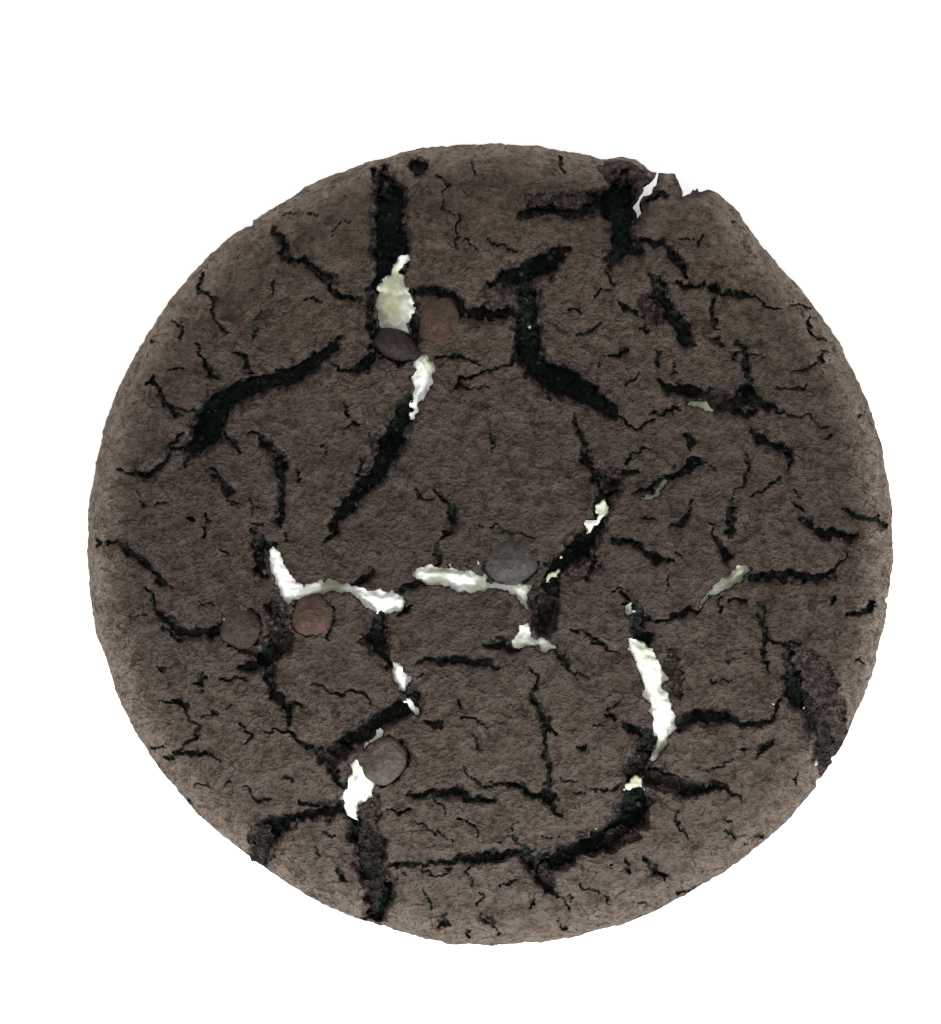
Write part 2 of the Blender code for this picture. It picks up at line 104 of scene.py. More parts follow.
# Cracks as (x, y, width) down their middle, round the compass as seen from above
CRACKS = {
    "north": (
        ((-11.6, 42.4, 1.2), (-11.5, 40.5, 2.2), (-11, 39, 3.4), (-11, 37, 3.2), (-10.9, 34, 3.8),
         (-10.8, 31.5, 3.6), (-11.5, 29, 3.0)),
        ((-13.2, 28.4, 0.8), (-13, 25.5, 1.0), (-12.7, 23.3, 1.0)),
        ((-13, 42, 0.8), (-12.5, 41, 0.4)),
        ((-8.3, 42.5, 1.2), (-7.6, 42.1, 1.4)),
        ((-8, 28.2, 1.0), (-6, 28.4, 1.2), (-4.5, 28, 1.2), (-3.5, 27, 1.2), (-2.5, 25.9, 1.2),
         (0, 25.8, 1.6), (3, 25.8, 1.2)),
        ((-5.5, 41.2, 0.25), (-4.5, 40.2, 0.3), (-5, 39, 0.25), (-5.2, 38, 0.25), (-4, 37, 0.2)),
        ((-3.3, 37, 0.3), (-3.6, 35.5, 0.35), (-3.3, 34.5, 0.3), (-3.8, 33.2, 0.3)),
        ((-3, 33.8, 0.25), (-2.2, 33.9, 0.25), (-1, 33, 0.25)),
        ((-1.8, 43, 0.3), (-1.4, 41.5, 0.3)),
        ((-0.3, 34, 0.3), (1.5, 33.5, 0.35), (3, 32.8, 0.4)),
        ((3.3, 36.5, 0.5), (4.2, 37, 1.2), (6, 37.5, 1.4), (8.5, 37.1, 1.4), (10.4, 36.9, 1.3),
         (12, 38.3, 2.2)),
        ((0.2, 29.1, 0.8), (2, 29.7, 1.6), (4, 30.5, 2.5), (6, 31.3, 2.6), (7.6, 32.2, 2.0), (8.8, 33, 1.0)),
        ((-8.9, 28.2, 1.0), (-8.4, 26.5, 1.2), (-8.2, 24.5, 1.2), (-8, 22.4, 0.9)),
        ((2.5, 29.4, 0.8), (4.5, 29.5, 1.0)),
        ((4.3, 29, 2.0), (4.4, 26, 2.5), (4.3, 24, 2.7), (4.5, 22, 2.8), (4.5, 21, 2.5), (5.5, 19.8, 3.0),
         (7.5, 18.6, 3.6), (9.5, 17.7, 3.2), (11.2, 17, 2.6), (12.5, 15.8, 2.0), (13.6, 14.9, 1.4),
         (14.2, 14, 0.6)),
        ((6.5, 17, 0.5), (6.9, 16.3, 0.6)),
        ((8.2, 43.2, 0.4), (8.3, 42.2, 0.5), (8.7, 41.5, 0.4)),
        ((13.5, 30.8, 0.4), (13.3, 30, 0.4), (13.9, 29.2, 0.4)),
        ((12, 28, 0.35), (12.6, 28.5, 0.35), (13.3, 28.3, 0.35)),
        ((14.8, 27, 0.5), (15.5, 26.2, 0.6), (16.5, 26, 0.5)),
        ((9, 26.2, 0.4), (10.5, 26, 0.4)),
        ((9.7, 23.5, 0.3), (11.3, 23.8, 0.35), (12.5, 24.8, 0.3)),
    ),
    "north east": (
        ((15.2, 41.4, 1.4), (14.7, 40, 3.4), (14.4, 38.3, 4.2), (14.9, 36.5, 2.9), (14.9, 34.5, 2.8),
         (14.7, 33, 2.3), (14.1, 31.8, 1.4), (13.6, 30.8, 0.6)),
        ((15.5, 33, 1.6), (16.6, 32.7, 1.2), (17.2, 33.4, 0.6)),
        ((17.3, 38.4, 0.5), (18.2, 38.9, 0.9), (19.3, 39.1, 0.7), (20, 38.9, 0.3)),
        ((15.8, 33.7, 0.8), (18, 34, 0.8), (19.7, 33.4, 0.9), (20.7, 32.2, 1.4), (21.6, 31, 1.1),
         (22.1, 30.1, 0.4)),
        ((13.5, 32, 1.0), (15.5, 32.6, 1.0), (16.5, 32.8, 0.4)),
        ((18.2, 30, 0.8), (19, 29, 1.6), (19, 27.5, 1.8), (19.8, 26.3, 1.6), (20.8, 25.3, 1.5),
         (21.5, 24.2, 1.6), (22, 23, 1.5), (22.8, 22.5, 0.6)),
        ((17, 24.2, 0.5), (17.8, 23.9, 0.5)),
        ((21, 29.4, 0.5), (22, 28.9, 0.7), (24, 29.1, 0.5)),
        ((21.3, 34.3, 0.3), (23, 34.2, 0.3)),
        ((25.2, 28.7, 1.5), (26, 28.2, 0.5), (28, 28, 0.9), (29.5, 28, 0.5), (30.7, 27, 0.5),
         (31.7, 26.4, 0.5), (32.8, 26, 0.2)),
        ((25.1, 27.5, 0.5), (25.1, 25.8, 0.5), (25.4, 24.6, 0.4), (25.8, 24.2, 0.3)),
        ((34, 27.1, 0.3), (35, 27, 0.4), (36.2, 26.6, 0.4)),
        ((36, 25.7, 0.4), (36.1, 24.4, 0.5), (36.2, 23.7, 0.7), (37, 23.3, 0.4), (37.8, 23, 0.3)),
        ((24.5, 23.3, 0.3), (25.3, 22.8, 0.4), (26, 22.3, 0.3)),
        ((23.4, 33.5, 0.4), (24, 34.4, 0.4)),
        ((27.2, 36.2, 0.3), (28, 36.2, 0.3)),
        ((18.9, 21.7, 0.4), (18.8, 20.7, 0.5), (18.9, 19.9, 0.3)),
        ((19.2, 18.5, 0.6), (20.3, 17.5, 1.2), (21.7, 17.1, 1.8), (23.3, 17.2, 1.5), (25, 17.4, 0.6)),
        ((27.6, 15.6, 1.2), (28.7, 17, 2.2), (29.5, 16.2, 1.5), (30.8, 15.6, 1.0), (32, 14.9, 0.4),
         (33, 14.5, 0.3), (36, 14.5, 0.3), (36.8, 14.1, 0.25)),
        ((20.6, 20.3, 0.35), (20.7, 19.3, 0.4)),
        ((13.5, 21.2, 0.5), (14.8, 21.3, 0.8), (15.3, 22.2, 0.4)),
        ((12.3, 20.8, 0.3), (12.2, 20, 0.3)),
        ((16.8, 19.3, 0.25), (16, 18.3, 0.3), (15.2, 17.4, 0.3)),
        ((27.8, 22.8, 0.5), (28.6, 22.2, 0.8), (28.7, 21, 0.6), (28.7, 19.7, 0.9), (28.9, 18.5, 1.0),
         (28.8, 17.3, 2.0)),
        ((27.2, 21.3, 0.3), (27.6, 20.4, 0.4)),
        ((27.3, 21.4, 0.3), (29.5, 21.2, 0.3), (31, 20.8, 0.2)),
        ((25.6, 15.1, 0.8), (26.8, 15.5, 1.5), (28, 15, 1.3), (29, 14.7, 0.8), (30, 15, 0.6)),
        ((32.2, 17.3, 0.3), (33.5, 17.5, 0.3), (35.3, 17.2, 0.3), (35.6, 18, 0.25)),
        ((34, 19.2, 0.25), (35.3, 19.5, 0.4), (36.3, 20, 0.4), (37.3, 20.5, 0.6), (37, 21.2, 0.5),
         (37.5, 21.8, 0.5), (38.3, 21.7, 0.2)),
    ),
    "east": (
        ((14.5, 14.2, 0.3), (15.3, 13.9, 0.5), (16, 13, 0.4), (17, 13, 0.5), (18.2, 13.6, 0.4)),
        ((18, 14.7, 0.3), (19.5, 14.6, 0.5), (20.3, 15, 0.7), (21, 15.4, 0.4)),
        ((16.2, 10.2, 0.3), (17, 10.8, 0.4), (18.2, 11, 0.25)),
        ((15.4, 9, 0.5), (15.9, 10, 0.3)),
        ((22.2, 12.5, 0.8), (22.7, 11.8, 0.6), (22.3, 10.8, 0.5)),
        ((23.2, 9.5, 1.2), (22, 8.5, 1.2), (20.7, 7.8, 0.9), (19.5, 7.6, 0.4)),
        ((17, 8.1, 0.3), (15, 8.1, 0.8)),
        ((15.9, 5.6, 0.3), (17, 6, 0.7), (18, 6.4, 0.9), (18.8, 7, 0.7), (19.8, 7.3, 0.5)),
        ((22.5, 5.3, 0.3), (22.3, 4, 0.5), (21.8, 3, 0.6), (21.6, 2.3, 0.6), (20, 2.1, 0.25)),
        ((16.8, 3.2, 0.3), (18.5, 2.9, 0.3)),
        ((14, 0.5, 0.6), (16, 0.4, 0.9), (17.3, -0.4, 0.8), (18.8, -1.5, 0.9), (20.2, -1.9, 0.4)),
        ((29.4, 13, 0.6), (30.2, 12, 1.3), (31.5, 11.2, 1.0), (33, 10.8, 1.0), (33.6, 10.2, 1.0),
         (33.4, 9, 0.6), (33.6, 8.4, 0.4)),
        ((23, 9.7, 0.4), (24, 9.2, 0.3), (25.3, 8.7, 0.25)),
        ((28.9, 10, 0.25), (28.9, 8.8, 0.3), (28.6, 7.4, 0.4), (28.3, 6.7, 0.3), (27.5, 6, 0.25),
         (27.3, 5, 0.4), (27, 4, 0.8), (27, 2.8, 1.1), (27, 1.8, 0.8), (27, 0.8, 0.3)),
        ((29.2, 5.3, 0.4), (30.2, 6, 0.3), (31, 6.5, 0.3), (31.7, 7.2, 0.4), (32.6, 7.5, 0.2)),
        ((34, 6.2, 0.3), (35, 5.5, 0.3)),
        ((34.9, 2.8, 0.8), (36, 2.5, 1.0), (37, 1.6, 1.2), (38.3, 1.2, 1.2), (39.5, 1, 1.1), (40.7, 0.8, 1.0),
         (40.8, 0.3, 0.6)),
        ((34, 4.7, 0.4), (35, 4, 0.6)),
        ((39.5, 4, 0.5), (40.3, 3.9, 0.7), (41.2, 3.2, 0.6), (42.2, 3, 0.6), (43.3, 3, 0.5), (44.4, 2, 0.5)),
        ((24.3, 2.5, 0.25), (25.2, 2, 0.3), (25.3, 1, 0.7), (26, 0, 1.0), (26.3, -1, 1.2)),
        ((37, 13.5, 0.25), (38.5, 13.3, 0.25)),
        ((37.2, 12, 0.3), (38.5, 12, 0.3)),
        ((41.3, 14.4, 0.3), (42.2, 14.4, 0.3)),
        ((29.3, -3.6, 0.9), (31, -3.3, 1.3), (33, -3.2, 1.3), (35, -3.3, 1.4), (36.3, -3.8, 1.0),
         (38, -3.3, 0.8), (39, -2.3, 0.5), (39.7, -1.4, 0.4), (40, -0.8, 0.3)),
        ((38.7, -5.7, 0.5), (38.2, -6.5, 0.3)),
        ((30.1, -6.3, 0.3), (30.5, -7.8, 0.6), (30.8, -9.2, 0.7), (31, -10.3, 0.7), (30.9, -11.5, 0.5),
         (30.7, -12.8, 0.6), (31.3, -14, 0.3)),
        ((31.3, -10.5, 0.5), (32.5, -10.8, 0.5), (33.5, -11, 0.9), (34.8, -10.7, 0.3)),
        ((40.3, -7.9, 0.5), (42, -7.7, 0.6), (43, -6.5, 1.3)),
        ((41, -13, 0.3), (41.6, -12.6, 0.4), (42.3, -13, 0.3)),
        ((26, -5.8, 0.4), (25.5, -7.3, 0.35)),
        ((27, -6, 0.4), (28.5, -6.3, 0.5)),
        ((19.8, -3.5, 0.3), (19.7, -5, 0.25)),
        ((20.8, -0.9, 0.3), (21.4, -1.2, 0.3)),
        ((26.5, -13.3, 0.3), (27.5, -12.5, 0.3)),
        ((28.2, -11.8, 0.3), (29, -11.8, 0.3)),
        ((25, -15, 0.25), (27, -15.1, 0.25)),
    ),
    "south east": (
        ((33.6, -11.5, 1.0), (33.4, -13, 0.9), (33.8, -14.5, 2.0), (34.1, -16, 2.3), (34.9, -17.2, 2.3),
         (36, -18.4, 2.0), (36.8, -19.8, 1.9), (37.5, -21.3, 2.5), (38, -22.8, 2.6), (38.4, -24.6, 2.0)),
        ((20.8, -20.3, 0.8), (22, -19.5, 1.3), (23.5, -18.9, 2.0), (25, -19, 1.6), (27, -19.3, 1.0),
         (28.5, -19.9, 0.7), (30, -19.9, 0.9), (31.5, -19.6, 0.7), (32.3, -18.3, 0.6), (32.8, -17.2, 0.5)),
        ((30, -23.4, 0.3), (30.6, -22.8, 0.5), (31.2, -22.1, 0.8), (32, -21.8, 0.3)),
        ((28, -22.8, 0.4), (29, -22.7, 0.3)),
        ((24, -24.9, 0.3), (25, -24.9, 0.3), (26.3, -24.7, 0.3), (27, -24, 0.25), (27.5, -23.7, 0.3)),
        ((34.6, -25.8, 0.3), (34.6, -26.8, 0.5)),
        ((26.5, -32.3, 0.25), (27.3, -32.3, 0.3), (27.5, -32.8, 0.4), (28, -33, 0.25)),
        ((28.8, -33.4, 0.3), (29.1, -33.4, 0.3)),
        ((30, -32.1, 0.25), (30.3, -32.5, 0.3), (30.7, -32.8, 0.5)),
        ((26.3, -30.5, 0.25), (27.2, -30.8, 0.25)),
        ((18, -25.5, 2.0), (19.5, -25.8, 2.0), (20.8, -26.5, 1.6), (22, -27.3, 1.5), (23.5, -27.2, 1.2),
         (25, -26.8, 1.0), (26.3, -26.9, 0.8), (27.2, -27.7, 0.4), (28, -27.9, 0.4), (28.2, -28.7, 0.25)),
        ((20.7, -29, 0.3), (21, -30, 0.25), (20.9, -30.8, 0.4), (21.7, -32, 0.25), (22.8, -33, 0.25)),
        ((17.5, -35.2, 0.5), (18.5, -36.2, 0.9), (19.8, -36.9, 0.8), (19.7, -37.5, 0.3)),
        ((21.5, -39, 0.5), (22.5, -38.8, 0.6), (24, -38.4, 0.5)),
        ((15.3, -35, 0.4), (15.8, -35.3, 0.6)),
        ((15.5, -36.2, 0.3), (15.9, -36.4, 0.4)),
        ((13.3, -35.4, 0.4), (13.6, -35.4, 0.4)),
        ((15, -19.9, 0.6), (16, -20.2, 1.0), (17.5, -21, 1.6), (17.8, -22.5, 1.8), (17, -23.8, 2.2),
         (16.2, -25, 2.2), (15.9, -27, 1.6)),
        ((13.3, -18, 0.5), (14, -17.5, 0.4), (14.8, -17.3, 0.25)),
        ((13.1, -18.7, 0.5), (14.3, -19.3, 0.6)),
        ((11.5, -20.3, 0.3), (13, -20, 0.3)),
        ((13.5, -5, 0.4), (14.8, -4.8, 0.3), (15.4, -5.5, 0.8), (16, -6.5, 1.1), (16.8, -8, 1.5),
         (16.8, -9.3, 1.6), (17.2, -10.5, 2.0)),
        ((17.5, -8, 0.8), (18.5, -8.4, 0.4), (20, -8.3, 0.5), (21, -7.7, 0.8), (22.3, -7.2, 0.9),
         (23.8, -7, 0.4)),
    ),
    "south": (
        ((-9, -27.6, 0.4), (-8, -27.8, 0.7), (-6.5, -27.4, 0.8), (-5, -27.7, 0.7), (-4, -27.3, 1.2),
         (-3, -27.6, 1.2), (-2.2, -28.2, 1.0), (-1, -28.2, 0.9), (0, -28.4, 0.8), (0.8, -28.4, 0.5)),
        ((-11, -29.5, 0.3), (-9.7, -29.7, 0.5), (-8.8, -29.5, 0.4)),
        ((-6, -28, 0.25), (-5, -29.2, 0.3), (-4.5, -30, 0.3)),
        ((-8, -30.8, 0.25), (-6.5, -31.8, 0.25), (-5, -32.3, 0.25), (-4, -32.9, 0.25)),
        ((-3.5, -30.5, 0.25), (-2, -30.7, 0.4), (-1.5, -31.3, 0.25), (-1.3, -32.3, 0.3)),
        ((-3, -24.6, 0.25), (-2.4, -25.4, 0.3), (-1.8, -26, 0.4), (-1.2, -26.7, 0.3), (0, -26.9, 0.4),
         (0.5, -26.9, 0.3)),
        ((-1.8, -21, 0.25), (-1.3, -22, 0.4), (-1, -22.7, 0.4)),
        ((-12, -35.6, 0.4), (-10, -35.7, 0.6), (-8, -35.6, 0.4), (-7.2, -35.8, 0.5), (-6.3, -35.2, 0.5),
         (-5, -35.4, 0.5), (-4, -35.5, 0.5), (-3.2, -35, 0.8), (-2, -34.9, 1.0), (-1, -35.1, 1.2),
         (0.5, -34.6, 1.3), (2.5, -34.2, 1.0), (4, -34.3, 1.0), (4.5, -35.2, 1.5), (6, -35.5, 2.2),
         (8, -35, 2.0), (9.5, -34.3, 2.0), (11, -33.5, 2.6), (13, -32.7, 2.4), (15, -31.2, 2.6),
         (16, -30, 3.2), (16.4, -28.6, 3.2)),
        ((-7.3, -36, 0.3), (-6.5, -36.5, 0.3), (-6, -36.9, 0.3), (-5, -36.7, 0.3)),
        ((-4.8, -36.1, 0.4), (-4.4, -36.1, 0.4)),
        ((-10.5, -37.4, 0.3), (-9.8, -37.4, 0.25)),
        ((-9.4, -36.2, 0.4), (-9.2, -36.5, 0.4)),
        ((-7.8, -38.3, 0.25), (-7, -39.3, 0.25), (-6.4, -39.8, 0.3), (-6.4, -41, 0.3)),
        ((-5.3, -42.5, 0.7), (-5, -41.7, 0.6), (-4.5, -41.3, 0.4)),
        ((-5, -42.2, 0.9), (-4.4, -42.4, 0.5)),
        ((-2.1, -35.5, 0.3), (-2, -37, 0.3), (-1.9, -38.2, 0.3)),
        ((-1, -38.6, 0.3), (-0.8, -39.4, 0.4), (-1.3, -40.2, 0.3)),
        ((-0.7, -41.3, 0.4), (-0.3, -42.1, 0.6), (0.5, -42, 0.4), (1, -43, 0.3), (1.3, -43.8, 0.3)),
        ((-2.3, -43.6, 0.4), (-2.1, -43.9, 0.4)),
        ((0, -26.4, 0.3), (1, -26.3, 0.35), (1.7, -26.2, 0.5), (2.5, -26.6, 0.9), (3.7, -26.8, 0.9),
         (4.3, -27.4, 0.9), (4.8, -28, 0.8), (6, -27.8, 1.2), (6.8, -27.8, 1.4), (7.1, -28.8, 0.9),
         (7.5, -29.6, 0.5), (8.2, -30, 0.25)),
        ((4.5, -13.4, 0.25), (5.2, -14.3, 0.4), (5.2, -15.5, 0.6), (5.1, -17, 0.9), (5.7, -18.2, 1.0),
         (6.5, -19.5, 0.7), (6.3, -21, 0.4), (6, -22, 0.5), (6.4, -23.5, 0.6), (6.8, -24.5, 0.7),
         (7, -25.5, 0.6), (6.9, -27, 0.6)),
        ((6.5, -19.5, 0.5), (7.3, -20.7, 0.6)),
        ((8, -26.1, 0.25), (10, -26.1, 0.25)),
        ((11.5, -27.1, 0.3), (13, -27.3, 0.4), (14, -27.1, 0.5), (15, -26.7, 0.6)),
        ((9.5, -27.4, 0.25), (10.5, -27.5, 0.25)),
        ((5.3, -35.6, 2.0), (6.3, -37, 1.8), (6.7, -38.2, 1.2), (7.3, -38.8, 0.5), (7.5, -39.5, 0.3),
         (8.5, -39.7, 0.3), (9, -40, 0.4), (9.3, -40.7, 0.3)),
        ((9, -38.8, 0.3), (9.2, -39.6, 0.3)),
        ((5, -39.3, 0.4), (5, -40, 0.5), (4.4, -40.3, 0.4)),
        ((3, -32, 0.25), (3.2, -33, 0.3), (4, -33.4, 0.3), (4.8, -34.2, 0.4)),
        ((1, -32.7, 0.25), (3, -32.3, 0.25)),
        ((2.5, -31.8, 0.25), (3, -31, 0.25)),
        ((6, -32.3, 0.25), (8, -32.4, 0.25)),
        ((1, -37.9, 0.25), (3, -37.6, 0.25)),
        ((7.8, -42, 0.3), (8.4, -42.8, 0.5)),
        ((10, -38, 0.25), (11.5, -38.6, 0.3), (12.5, -39, 0.3)),
        ((13.3, -39.2, 0.3), (13.4, -40, 0.3)),
        ((17, -40, 0.3), (17.6, -40.4, 0.3)),
        ((9.8, -22.5, 0.4), (10.4, -22.8, 0.45), (11.2, -22.3, 0.4)),
    ),
    "south west": (
        ((-14.8, -30.6, 1.6), (-14, -32.3, 2.8), (-13.2, -33.5, 3.2), (-13.3, -35, 3.0), (-13, -36.5, 2.5),
         (-12, -37.5, 2.0), (-12.2, -38.5, 3.0), (-12.3, -39.8, 2.5), (-12.7, -41.3, 1.8)),
        ((-15.5, -29.5, 1.0), (-17.5, -29.5, 1.5), (-19.5, -30, 1.2), (-21, -30.2, 1.3), (-22.5, -30.6, 1.8),
         (-23.5, -31.2, 2.2), (-24.8, -32, 2.6), (-25.3, -33.5, 2.6), (-25.6, -35, 2.2)),
        ((-21, -28.7, 0.6), (-20, -28.8, 0.5), (-18.5, -28.8, 0.5), (-17, -28.6, 0.8), (-16, -28.7, 0.5)),
        ((-9.8, -22, 1.0), (-9.3, -23.5, 1.0), (-9.5, -24.7, 0.8), (-10.3, -26, 0.5)),
        ((-18.8, -22.5, 0.5), (-18.7, -23.5, 0.4), (-18, -24.6, 0.5), (-17, -25.5, 1.0), (-16.5, -26.5, 0.6),
         (-16, -27, 0.4)),
        ((-9, -16.3, 1.0), (-8.2, -17, 1.3), (-7.8, -18.2, 1.0)),
        ((-9.5, -18.2, 2.0), (-10.5, -18.8, 2.0), (-12, -19.3, 1.8), (-13.3, -20.3, 1.6), (-14.5, -21.2, 1.8),
         (-15.8, -22, 1.8), (-17, -23, 1.4)),
        ((-19.7, -15.6, 0.25), (-18.3, -15.8, 0.3), (-17.5, -16.5, 0.3), (-16, -16.6, 0.4), (-15, -16, 0.3),
         (-13.8, -16.2, 0.4), (-13.2, -17, 0.4), (-13.3, -17.8, 0.3)),
        ((-22, -17.3, 0.5), (-21, -17.8, 0.4)),
        ((-28.8, -11.3, 0.3), (-27.5, -11.7, 0.4), (-26, -12, 0.8), (-25, -12.6, 2.2), (-23.5, -12, 1.5),
         (-22.5, -10.8, 1.2), (-22, -9.5, 1.0)),
        ((-27.5, -13.6, 1.0), (-26, -13.4, 1.2)),
        ((-24.5, -13.5, 1.3), (-24, -15.5, 1.2), (-23.7, -16.8, 1.3), (-22.5, -17.8, 1.1), (-22.3, -19, 0.8),
         (-22.4, -20.5, 0.5), (-21.5, -21.6, 0.5), (-20.5, -22.3, 0.4), (-19.2, -22.4, 0.3),
         (-18.8, -23.3, 0.5)),
        ((-31.5, -14, 0.3), (-31.9, -14.6, 0.7), (-32, -15.6, 0.7), (-32.8, -15.6, 0.3)),
        ((-37, -17.5, 0.25), (-35.8, -17.5, 0.3), (-34.5, -17.4, 0.9), (-33.9, -18, 0.6), (-33.6, -19, 0.3),
         (-32.9, -19.8, 0.3), (-32.3, -20.3, 0.6), (-32.7, -21.3, 0.5), (-33.8, -22.3, 0.5),
         (-35, -23.2, 0.6)),
        ((-31.8, -19.3, 0.25), (-30.3, -18.5, 0.3)),
        ((-30.2, -15, 0.3), (-29, -14.8, 0.4), (-27.3, -14.6, 0.5), (-26.8, -15, 0.3)),
        ((-29.2, -18, 0.3), (-28.7, -17.7, 0.3)),
        ((-27.9, -19.7, 0.4), (-27, -20.3, 0.3), (-26.4, -21.3, 0.5), (-26.9, -22.2, 0.4)),
        ((-25.2, -20.8, 0.3), (-23.5, -20.6, 0.3), (-22.5, -20.8, 0.4)),
        ((-36, -23.7, 0.4), (-34, -23.5, 0.6), (-32.2, -23.2, 0.8), (-31.2, -23.2, 0.5), (-30.5, -23.6, 0.3),
         (-29.8, -24, 0.25)),
        ((-38, -22.7, 0.4), (-37.2, -22.6, 0.5), (-36.7, -22.8, 0.3)),
        ((-37, -13.8, 0.25), (-36, -14.2, 0.25)),
        ((-23, -26, 0.3), (-22.2, -26.3, 0.4)),
        ((-29.5, -26.8, 0.3), (-29, -26.4, 0.3)),
        ((-33, -27, 0.25), (-31, -26.8, 0.25)),
        ((-27.3, -27, 0.25), (-26.5, -27.4, 0.3), (-26.2, -28, 0.3), (-25.3, -28.5, 0.35),
         (-24.3, -28.2, 0.4)),
        ((-16.7, -36.2, 0.6), (-16.2, -37, 0.7), (-15.6, -37.6, 0.3)),
        ((-18.5, -32.2, 0.25), (-17, -32.4, 0.25)),
        ((-19.3, -33.9, 0.25), (-18.8, -34.5, 0.25)),
        ((-33.6, -28.7, 0.4), (-33.4, -28.8, 0.4)),
        ((-6.7, -19.5, 0.5), (-5.8, -19.8, 0.7), (-5, -20.2, 0.4)),
    ),
    "west": (
        ((-42.6, 0.4, 0.4), (-41.5, 0.4, 0.6), (-40.7, 0.3, 0.7), (-40.2, -0.7, 0.8), (-39.5, -1.2, 0.8),
         (-38.6, -1.8, 1.1), (-37.3, -2.8, 0.6), (-36.8, -3.2, 0.9), (-36.3, -4.2, 0.6), (-35.2, -4.9, 0.25)),
        ((-44, 0.7, 0.4), (-43.5, 0.1, 0.5)),
        ((-38.5, -5, 0.3), (-37.5, -5.3, 0.5), (-37.3, -6.5, 0.5), (-36.8, -7.5, 0.9), (-35.5, -8.4, 0.9),
         (-34.7, -9.3, 1.0), (-33.5, -9.8, 1.0), (-32, -9.8, 1.0), (-30.3, -9.6, 1.3)),
        ((-36.5, -9, 0.4), (-35, -9.9, 0.5), (-34.4, -10.8, 0.6)),
        ((-24.2, -6.8, 1.5), (-23.2, -8.4, 1.3), (-23.4, -10, 1.4), (-24.2, -11.6, 2.0)),
        ((-17.4, -6.8, 0.4), (-17.4, -8.6, 0.5), (-17.8, -10.6, 0.4)),
        ((-29.9, -9, 0.5), (-29.4, -10.6, 0.5), (-28, -11.7, 0.6), (-26.4, -11.8, 0.6)),
        ((-32, -6.4, 0.25), (-31.2, -6.5, 0.3), (-30.7, -6.8, 0.25)),
        ((-29.6, -0.4, 0.3), (-28.9, -0.8, 0.3)),
        ((-40.2, -8, 0.2), (-38.2, -8.1, 0.2)),
        ((-26, 1.5, 1.0), (-25.7, 0.8, 1.3), (-25.7, -0.5, 1.5), (-25.5, -1.5, 1.3), (-25.4, -2.7, 1.6),
         (-25, -3.5, 0.8)),
        ((-24.8, 0.2, 1.0), (-24, -0.2, 1.0)),
        ((-34, 10.7, 0.5), (-35.7, 10.6, 0.5), (-35.9, 9.5, 0.6), (-37, 8.6, 0.9), (-38, 7.8, 1.2),
         (-39.3, 8.1, 0.4), (-41.5, 8.5, 0.3)),
        ((-34.2, 12.8, 0.3), (-35, 11.6, 0.5), (-35.8, 10.8, 0.5)),
        ((-26.7, 12.3, 0.4), (-25.5, 12.4, 0.4), (-24.5, 11.2, 1.1), (-23.5, 9.8, 1.4), (-23, 8.3, 1.3),
         (-22.9, 6.5, 0.8), (-22.9, 4.5, 1.1), (-23.2, 3, 1.2), (-23.1, 2.2, 0.6)),
        ((-22.3, 1.5, 0.3), (-22.2, 0.8, 0.4)),
        ((-31, 8.8, 0.3), (-30.3, 7.6, 0.7), (-29.5, 6.7, 0.7), (-28.7, 5.9, 0.8), (-28.9, 5, 0.4),
         (-27.5, 4.5, 0.25)),
        ((-38.9, 6, 0.3), (-38.9, 5.2, 0.3), (-38.2, 4.5, 0.3)),
        ((-37, 4.6, 0.3), (-36.2, 4.8, 0.4), (-35.5, 5, 0.3)),
        ((-33.3, 3.1, 0.6), (-33, 3.1, 0.6)),
        ((-31.3, 3.7, 0.3), (-31.2, 2.9, 0.5), (-30.6, 2.7, 0.3)),
        ((-31.6, 2.3, 0.3), (-31.8, 1, 0.4)),
        ((-26.5, 5.3, 0.3), (-26, 4.4, 0.3), (-25.8, 3.4, 0.5)),
        ((-26.3, 2.3, 0.3), (-25.3, 2.4, 0.3)),
        ((-18.4, 11, 0.25), (-18.1, 10, 0.3)),
        ((-21.4, 8.4, 0.4), (-21.2, 7.3, 0.4)),
    ),
    "north west": (
        ((-16.8, 23, 0.9), (-17.2, 22.2, 1.4), (-18.7, 21, 1.6), (-20, 20, 2.0), (-22, 19, 2.0),
         (-24, 18.5, 1.8), (-26, 17.8, 2.0), (-28, 17, 2.5), (-30, 15.8, 3.0), (-31, 13.8, 3.2),
         (-31.5, 12.3, 3.0), (-32.5, 11.2, 2.0), (-33.5, 10.2, 1.0), (-33.8, 9, 0.4)),
        ((-17.7, 21.1, 0.4), (-16.9, 20.2, 0.3), (-16.5, 19.6, 0.5), (-15, 19.5, 0.8), (-13.8, 20, 1.6),
         (-12.9, 21.2, 1.4), (-12.6, 22.5, 0.8)),
        ((-38.3, 18.4, 0.6), (-37.3, 18.5, 0.8), (-36.9, 17.3, 0.5), (-36.3, 16.2, 0.6), (-35.8, 15.6, 0.8),
         (-35, 14.8, 0.7), (-34.4, 14.6, 0.4)),
        ((-35.5, 15.6, 0.4), (-34, 15.4, 0.4), (-33, 14.8, 0.5), (-32, 14.8, 0.6)),
        ((-32.3, 21.4, 0.4), (-31.8, 20.7, 0.5), (-31.3, 19.8, 0.8), (-31.2, 19.2, 0.6), (-30.3, 18.9, 0.4)),
        ((-35.8, 19.5, 0.25), (-34.9, 19.8, 0.4), (-34.2, 19.7, 0.3)),
        ((-32.6, 22.7, 0.3), (-32, 21.5, 0.3)),
        ((-28.4, 21.6, 0.3), (-27.2, 21.2, 0.5), (-27, 20, 0.6), (-26.6, 19.2, 0.8)),
        ((-29.8, 13.5, 0.5), (-29.2, 12.3, 0.6), (-28.3, 11.7, 0.8), (-27.8, 11.2, 0.5), (-27.6, 10.3, 0.3)),
        ((-24, 35.5, 0.4), (-23.3, 34.5, 0.8), (-22.8, 33.5, 0.9), (-22.7, 32, 0.8), (-21.5, 31.8, 0.6),
